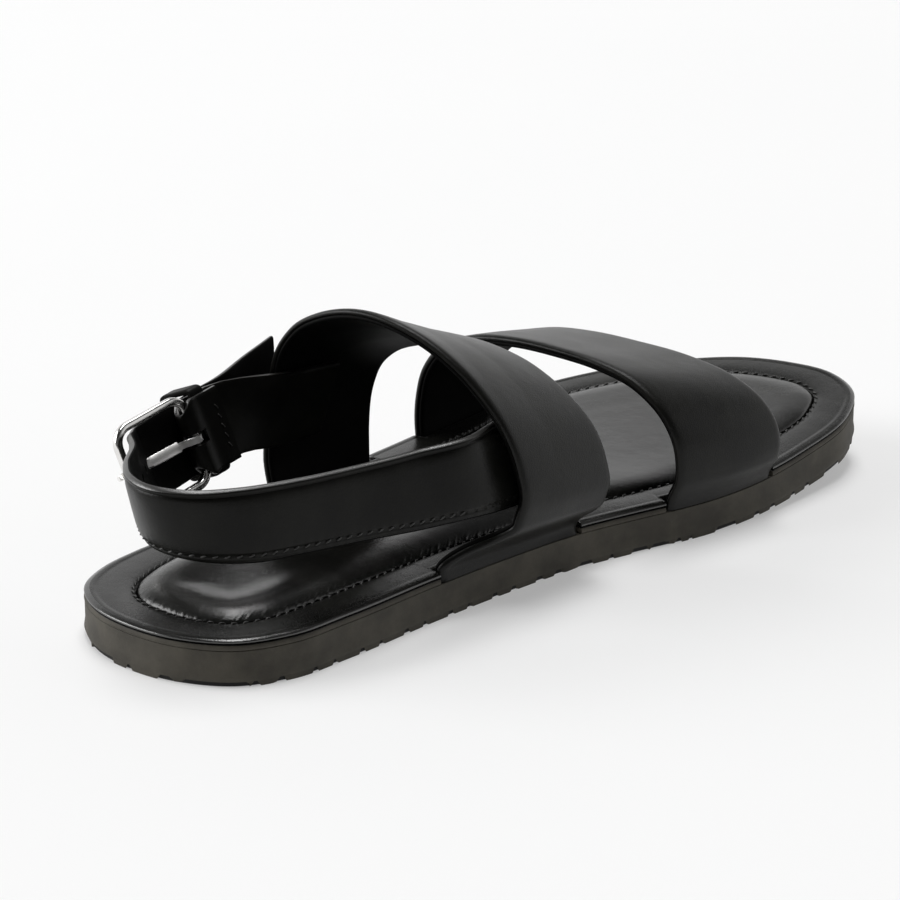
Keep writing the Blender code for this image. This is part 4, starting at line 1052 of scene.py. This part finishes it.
def back_strap_edges():
    """Lower and upper edge of the back strap's outer face, from its sewn-in end round the heel to the tip."""
    low, high = [], []
    top = BACK_LOW + BACK_PATH[0][5] * BACK_WIDTH
    for share in LAPS:
        along = share * SOLE_LENGTH
        low.append((along, instep_across(along, BACK_LOW, False, LAP_DEPTH), BACK_LOW))
        high.append((along, instep_across(along, top, False, LAP_DEPTH), top))
    for low_along, low_across, high_along, high_across, rise, height in BACK_PATH:
        foot = BACK_LOW + rise * BACK_WIDTH
        low.append((low_along * SOLE_LENGTH, low_across * SOLE_WIDTH, foot))
        high.append((high_along * SOLE_LENGTH, high_across * SOLE_WIDTH, foot + height * BACK_WIDTH))
    rows = [(share, rise, out * FRAME_LENGTH) for share, rise, out in THREAD]
    rows += [(share, rise, TAIL_OUT) for share, rise in TAIL_START]
    for share, rise, out in rows:
        for edge, half in ((low, -0.5), (high, 0.5)):
            edge.append(tuple(buckle_point(share * FRAME_LENGTH, out, (rise + half) * BACK_WIDTH)))
    for share, rise, outward, lift in TAIL:
        along = share * SOLE_LENGTH
        middle = buckle_point(BUCKLE_BAR_ALONG - along, TAIL_OUT, rise * BACK_WIDTH)
        foot = middle[2] - BACK_WIDTH / 2
        face = instep_across(along, foot, True) + STRAP_CROWN + GAP + BACK_THICK
        across = middle[1] + (face - middle[1]) * outward + lift * TAIL_LIFT
        low.append((along, across - TAIL_LEAN, foot))
        high.append((along, across + TAIL_LEAN, foot + BACK_WIDTH))
    return np.array(low), np.array(high)


def strip_frame(low, high):
    """Inward direction of a strip along its two edge lines."""
    return unit(np.cross(np.gradient((low + high) / 2, axis=0), high - low))


def smooth_edges(low, high, steps):
    """The two edge lines of a strip as smooth curves."""
    return np.split(smooth_rows(np.hstack([low, high]), steps), 2, axis=1)


def strip_lay(run, section, width):
    """Lay of a strip: distance along, distance up from the lower edge and depth."""
    up = section[:, 1] + section[:, 0] * width
    return np.stack(np.broadcast_arrays(run[:, None], up[None], section[None, :, 2]), axis=-1)


def strip_grid(low, high, section):
    """Section of a strip carried along its two edge lines: offset from an edge, and depth inward."""
    normal, upward = strip_frame(low, high), unit(high - low)
    rows = []
    for end, offset, depth in section:
        rows.append((high if end > 0.5 else low) + upward * offset + normal * depth)
    return np.stack(rows, axis=1)


def creases(run, share, table):
    """Relief of a strip from its creases: soft troughs and ridges across it that lean and fade out."""
    total = 0.0
    for place, lean, width, depth, middle, reach in table:
        across = (run - place - lean * (share - 0.5)) / width
        total = total + depth * np.exp(-across ** 2) * np.exp(-((share - middle) / reach) ** 2)
    return total


def turns(count):
    """Angles once round a circle."""
    return np.linspace(0, 2 * np.pi, count, endpoint=False)


def stitches(name, points, normals, bent=False, pitch=STITCH_PITCH, size=1.0):
    """Row of stitches: short arched bars of thread with sunken ends, leaning a little across the row."""
    run = run_of(points)
    at = np.arange(0.6 * pitch, run[-1] - 0.4 * pitch, pitch)
    centre, normal = columns_at(at, run, points), columns_at(at, run, normals)
    ahead = unit(columns_at(at + pitch / 4, run, points) - columns_at(at - pitch / 4, run, points))
    normal = unit(normal - ahead * np.sum(normal * ahead, axis=1, keepdims=True))
    side = np.cross(normal, ahead)
    slant = math.radians(STITCH_SLANT)
    along = ahead * math.cos(slant) + side * math.sin(slant)
    beside = np.cross(normal, along)
    u = np.linspace(-1, 1, STITCH_RINGS)
    lift = size * THREAD_RADIUS * (THREAD_LIFT - THREAD_DIP * u ** 4)
    thick = size * THREAD_RADIUS * (1 - THREAD_TAPER * u ** 4)
    angle = turns(STITCH_SIDES)
    local = np.stack([
        np.broadcast_to(u[:, None] * min(STITCH_LENGTH, 0.7 * pitch) / 2, (STITCH_RINGS, STITCH_SIDES)),
        thick[:, None] * np.cos(angle), lift[:, None] + thick[:, None] * np.sin(angle),
    ], axis=-1)
    axes = np.stack([along, beside, normal], axis=1)
    grid = centre[:, None, None] + np.einsum("ijc,kcd->kijd", local, axes)
    count = STITCH_RINGS * STITCH_SIDES
    single = grid_quads(STITCH_RINGS, STITCH_SIDES, False, True).tolist()
    single += [list(range(STITCH_SIDES)), list(range(count - STITCH_SIDES, count))]
    faces = [[corner + count * k for corner in face] for k in range(len(at)) for face in single]
    thing = piece(name, to_world(grid, bent), faces, THREAD_FINISH)


def cut_holes(thing, cutters):
    """Take cutters out of a piece and remove them; the edges that they leave stay crisp."""
    for cutter in cutters:
        step = thing.modifiers.new(cutter.name, "BOOLEAN")
        step.operation, step.solver, step.object = "DIFFERENCE", "EXACT", cutter
    made = bpy.data.meshes.new_from_object(thing.evaluated_get(bpy.context.evaluated_depsgraph_get()))
    thing.modifiers.clear()
    thing.data = made
    for cutter in cutters:
        bpy.data.objects.remove(cutter)
    thing.data.shade_smooth()
    sharpen(thing, 40)


def rod(name, centre, axis, side, up, length, radius_a, radius_b):
    """Straight rod with an oval section, used to punch a hole."""
    angle = turns(TURN_SIDES)
    ring = np.cos(angle)[:, None] * side * radius_a + np.sin(angle)[:, None] * up * radius_b
    grid = np.array([centre + ring - axis * length, centre + ring + axis * length])
    mesh = bpy.data.meshes.new(name)
    faces = grid_quads(2, TURN_SIDES, False, True).tolist()
    faces += [list(range(TURN_SIDES)), list(range(TURN_SIDES, 2 * TURN_SIDES))]
    mesh.from_pydata(to_world(grid, bent=False).reshape(-1, 3).tolist(), [], faces)
    face_outward(mesh)
    return put(name, mesh)


def make_back_strap():
    """Back strap: outer leather with a turned top edge over a lining, and five punched holes."""
    low, high = smooth_edges(*back_strap_edges(), 9)
    inward, upward = strip_frame(low, high), unit(high - low)
    middle = (low + high) / 2 + inward * BACK_THICK / 2
    run = run_of(middle)
    lay = strip_lay(run, BACK_SECTION, BACK_WIDTH)
    relief = creases(lay[..., 0], lay[..., 1] / BACK_WIDTH, BACK_CREASES)
    grid = strip_grid(low, high, BACK_SECTION) - inward[:, None] * relief[..., None]
    thing = tube("back_strap", grid, BACK_FINISH, replaces=["heel_strap"], lay=lay)
    foot = BACK_SECTION[(BACK_SECTION[:, 0] == 0) & (BACK_SECTION[:, 2] < BACK_SECTION[0, 2])]
    sunk = float(np.interp(BACK_ROW, foot[1:, 1], foot[1:, 2])) + BACK_ROW_SUNK * THREAD_RADIUS
    sunk = sunk - creases(run, BACK_ROW / BACK_WIDTH, BACK_CREASES)
    row = low + upward * BACK_ROW + inward * sunk[:, None]
    shown = run > BACK_ROW_START
    stitches("back_strap_stitches", row[shown], -inward[shown])
    back = (middle - BAR_PLACE) @ BACK_WAY
    ahead = run > PAST_HEEL * run[-1]
    start = float(np.interp(-PRONG_HOLE * FRAME_LENGTH, -back[ahead], run[ahead]))
    cutters = []
    for k in range(-2, 3):
        at = start + k * HOLE_PITCH
        centre, beyond = columns_at(np.array([at, at + HOLE_RADIUS]), run, middle)
        tangent = unit(beyond - centre)
        upward = columns_at(at, run, high - low)
        upward = unit(upward - tangent * (upward @ tangent))
        wide = PRONG_SLANT * (BACK_THICK / 2 + PRONG_THICK / 2) + GAP if k == 0 else HOLE_RADIUS
        tall = 0.75 * PRONG_WIDTH / 2 + 1.5 * GAP if k == 0 else HOLE_RADIUS
        axis = np.cross(tangent, upward)
        cutters.append(rod("hole_%d" % (k + 3), centre, axis, tangent, upward, 1.2 * BACK_THICK, wide, tall))
    dress(thing, LINING_FINISH, lambda lay: lay[:, 2] > LINING_SHARE * BACK_THICK)
    # The rolled top edge takes the lighter tone of a painted highlight
    rolled, (near, far) = BACK_WIDTH - ROLLED_EDGE, ROLLED_DEPTHS
    dress(thing, EDGE_HIGHLIGHT_FINISH, lambda lay: (lay[:, 1] > rolled) & (lay[:, 2] > near) & (lay[:, 2] < far))
    cut_holes(thing, cutters)


def make_buckle_strap():
    """Short strap: sewn inside the instep strap, folded round the bar and turned back on its inner side."""
    wrap, thick = WRAP_RADIUS, BUCKLE_STRAP_THICK
    fold = FRAME_OPENING - 2.5 * GAP
    room = wrap - thick - 2 * GAP - KEEPER_THICK
    nose = FRAME_OPENING + 2 * BAR_RADIUS - 2 * FRAME_CORNER
    path = [(-share * TURNED_BACK, room, fold) for share in (1.0, 0.64, 0.32)]
    for turn in range(0, 181, 20):
        angle = math.radians(turn)
        path.append((wrap * math.sin(angle), -wrap * math.cos(angle), fold + (nose - fold) * math.sin(angle)))
    path += [(-share * TURNED_BACK, wrap, fold) for share in (0.32, 0.95)]
    low = [buckle_point(back, out, -width / 2) for back, out, width in path]
    high = [buckle_point(back, out, width / 2) for back, out, width in path]
    for share in LAPS[::-1]:
        along = share * SOLE_LENGTH
        for edge, up in ((low, BACK_LOW), (high, BACK_LOW + BUCKLE_STRAP_WIDTH)):
            edge.append((along, instep_across(along, up, True, LAP_DEPTH + thick / 2), up))
    low, high = smooth_edges(low, high, 5)
    shift = strip_frame(low, high) * thick / 2
    grid = strip_grid(low - shift, high - shift, SHORT_SECTION)
    lay = strip_lay(run_of(low), SHORT_SECTION, BUCKLE_STRAP_WIDTH)
    thing = tube("short_strap", grid, SHORT_FINISH, replaces=["buckle_strap"], lay=lay)
    for number, (back, share, pitch, size) in enumerate(END_SEAMS):
        ends = [buckle_point(-back, room - thick / 2, up) for up in (-share * fold / 2, share * fold / 2)]
        row = np.linspace(ends[0], ends[1], TURN_SIDES)
        normals = np.tile(-OUT_WAY, (TURN_SIDES, 1))
        name = "short_strap_stitches_%d" % (number + 1)
        stitches(name, row, normals, pitch=pitch, size=size)
    # The short strap's top edge takes the lighter tone of a painted highlight
    dress(thing, EDGE_HIGHLIGHT_FINISH, lambda lay: lay[:, 1] > BUCKLE_STRAP_WIDTH - CUT_EDGE)
    centre = buckle_point(wrap - SLOT_BACK, 0, 0)
    reach = PRONG_WIDTH / 2 + GAP
    cut_holes(thing, [rod("slot_cutter", centre, UP_WAY, BACK_WAY, OUT_WAY, reach, *SLOT_SIZE)])


def rounded_box(half_a, half_b, radius, steps):
    """Path round a rectangle with round corners, and the outward direction at each place."""
    angle = np.radians(np.concatenate([90 * q + 90 * np.arange(steps + 1) / steps for q in range(4)]))
    sign = np.repeat([(1, 1), (-1, 1), (-1, -1), (1, -1)], steps + 1, axis=0)
    ways = np.c_[np.cos(angle), np.sin(angle)]
    return sign * (half_a - radius, half_b - radius) + radius * ways, ways


def whole_section(half):
    """Section from its first half, with the opposite points after them."""
    return np.vstack([half, -np.array(half, float)])


def make_buckle_frame():
    """Rectangular frame with rounded corners: a slightly flattened round bar carried round the four sides."""
    half = FRAME_LENGTH / 2
    path, ways = rounded_box(half, FRAME_OPENING / 2 + BAR_RADIUS, FRAME_CORNER, 10)
    centres = np.array([buckle_point(half + back, 0, up) for back, up in path])
    spokes = ways[:, :1] * BACK_WAY + ways[:, 1:] * UP_WAY
    angle = turns(BAR_SIDES)
    wide, deep = (np.sign(k) * np.abs(k) ** BAR_SQUARENESS for k in (np.cos(angle), np.sin(angle)))
    grid = centres[:, None] + BAR_RADIUS * (wide[:, None] * spokes[:, None] + deep[:, None] * OUT_WAY)
    tube("frame_bar", grid, FRAME_FINISH, closed_rows=True, replaces=["buckle_frame"])


def make_prong():
    """Flat prong: curled round the bar, along the strap's inner side, through its hole, over the far bar."""
    curl = BAR_RADIUS + 1.25 * GAP + PRONG_THICK / 2
    path = []
    for turn in range(-280, 1, 35):
        angle = math.radians(turn)
        path.append((curl * math.sin(-angle), -curl * math.cos(angle), PRONG[0][2]))
    path = np.array(path + [(share * FRAME_LENGTH, out * BAR_RADIUS, width) for share, out, width in PRONG])
    steps = 6
    widths = np.interp(np.arange(steps * (len(path) - 1) + 1) / steps, np.arange(len(path)), path[:, 2])
    path = np.c_[smooth_rows(path[:, :2], steps), widths]
    centres = np.array([buckle_point(back, out, 0) for back, out, _ in path])
    ways = np.cross(unit(np.gradient(centres, axis=0)), UP_WAY)
    start, end = PRONG_TURNS
    turn = np.radians(PRONG_TURN) * soft((path[:, 0] / FRAME_LENGTH - start) / (end - start))[:, None, None]
    corner = whole_section(PRONG_HALF)
    half_b = path[:, 2] * PRONG_WIDTH / 2
    side, face = ways[:, None], np.broadcast_to(UP_WAY, ways.shape)[:, None]
    outer = np.sign(ways @ OUT_WAY)[:, None, None]
    grid = (
        centres[:, None]
        + corner[None, :, :1] * (PRONG_THICK / 2) * (side * np.cos(turn) - outer * face * np.sin(turn))
        + corner[None, :, 1:] * half_b[:, None, None] * (face * np.cos(turn) + outer * side * np.sin(turn))
    )
    sharpen(tube("prong_bar", grid, PRONG_FINISH, replaces=["buckle_prong"]), 35)


def make_keeper():
    """Leather loop round short strap and tail: its inner leg lies between the strap's two layers."""
    thick = KEEPER_THICK
    inner = WRAP_RADIUS - BUCKLE_STRAP_THICK / 2 - GAP - thick / 2
    outer = TAIL_OUT + 3 * GAP + thick / 2
    rise = max(row[1] for row in TAIL_START) * BACK_WIDTH
    low = -FRAME_OPENING / 2 - thick / 2 - GAP
    high = rise + BACK_WIDTH / 2 + thick / 2 + 2 * GAP
    path, ways = rounded_box((outer - inner) / 2, (high - low) / 2, KEEPER_CORNER * thick, 6)
    back = -(KEEPER_BACK + KEEPER_WIDTH / 2)
    half = (outer - inner) / 2
    skew = KEEPER_SKEW / (outer - inner)
    centres = np.array([
        buckle_point(back + skew * (out + half), (outer + inner) / 2 + out, (high + low) / 2 + up)
        for out, up in path
    ])
    spokes = ways[:, :1] * OUT_WAY + ways[:, 1:] * UP_WAY
    corner = smooth_rows(whole_section(KEEPER_HALF), 2, closed=True)
    grid = (
        centres[:, None] + corner[None, :, :1] * (thick / 2) * spokes[:, None]
        + corner[None, :, 1:] * (KEEPER_WIDTH / 2) * BACK_WAY
    )
    tube("keeper_loop", grid, SHORT_FINISH, closed_rows=True, replaces=["strap_keeper"])


def make_floor():
    """Plain pale floor, wide enough to fill the picture."""
    finish = Finish("floor_finish", Roughness=0.9, Emission_Color=(1, 1, 1, 1), Emission_Strength=FLOOR_GLOW)
    finish.set("Base Color", finish.blend(finish.noise(3, 2.0), (0.53, 0.53, 0.53), (0.55, 0.55, 0.55)))
    mesh = bpy.data.meshes.new("floor")
    corners = [(x * FLOOR_HALF, y * FLOOR_HALF, 0) for x, y in ((-1, -1), (1, -1), (1, 1), (-1, 1))]
    mesh.from_pydata(corners, [], [(0, 1, 2, 3)])
    mesh.materials.append(finish.material)
    floor = put("floor", mesh)


def aim(thing, place, target):
    """Stand a lamp or a camera at a place, facing a target."""
    thing.location = place
    thing.rotation_euler = (target - place).to_track_quat("-Z", "Y").to_euler()
    return thing


def soft_light(name, place, target, size, power):
    """Rectangular soft box that faces a point."""
    light = bpy.data.lights.new(name, "AREA")
    light.shape, light.size, light.size_y, light.energy = "RECTANGLE", size[0], size[1], power
    aim(put(name, light), Vector(place), Vector(target))


def make_surroundings():
    """White ahead and beside the shoe to well above the horizon, dim overhead and near the camera."""
    world = bpy.data.worlds.new("studio")
    world.use_nodes = True
    sky = Nodes(world.node_tree)
    way = sky.node("ShaderNodeTexCoord", out="Generated")
    ahead = sky.node("ShaderNodeVectorMath", {"operation": "DOT_PRODUCT"}, {0: way, 1: AHEAD}, out="Value")
    upward = sky.node("ShaderNodeSeparateXYZ", None, {0: way}, out="Z")
    rise = upward.step(*SKY_FADE, 1.0, ZENITH / HORIZON)
    background = sky.tree.nodes["Background"]
    sky.fill(background.inputs["Strength"], rise * ahead.step(*SIDE_FADE, NEAR_SIDE, HORIZON))
    background.inputs["Color"].default_value = (1, 1, 1, 1)
    bpy.context.scene.world = world


def make_studio():
    """Soft box overhead, a wide one on the outer side of the heel, and the camera."""
    make_surroundings()
    for light in LIGHTS:
        soft_light(*light)
    lens = bpy.data.cameras.new("camera")
    lens.lens, lens.sensor_width = CAMERA_LENS, CAMERA_SENSOR
    lens.clip_start, lens.clip_end = 0.05, 60.0
    bpy.context.scene.camera = aim(put("camera", lens), CAMERA_PLACE, CAMERA_TARGET)
    bpy.context.scene.view_settings.view_transform = "Standard"


make_outsole()
make_footbed()
make_pad()
make_band("instep_leather", INSTEP_RIBS, INSTEP_HALVES, "instep_strap", INSTEP_CREASES)
make_band("toe_leather", TOE_RIBS, TOE_HALVES, "toe_strap", TOE_CREASES)
make_back_strap()
make_buckle_strap()
make_keeper()
make_buckle_frame()
make_prong()
make_floor()
make_studio()
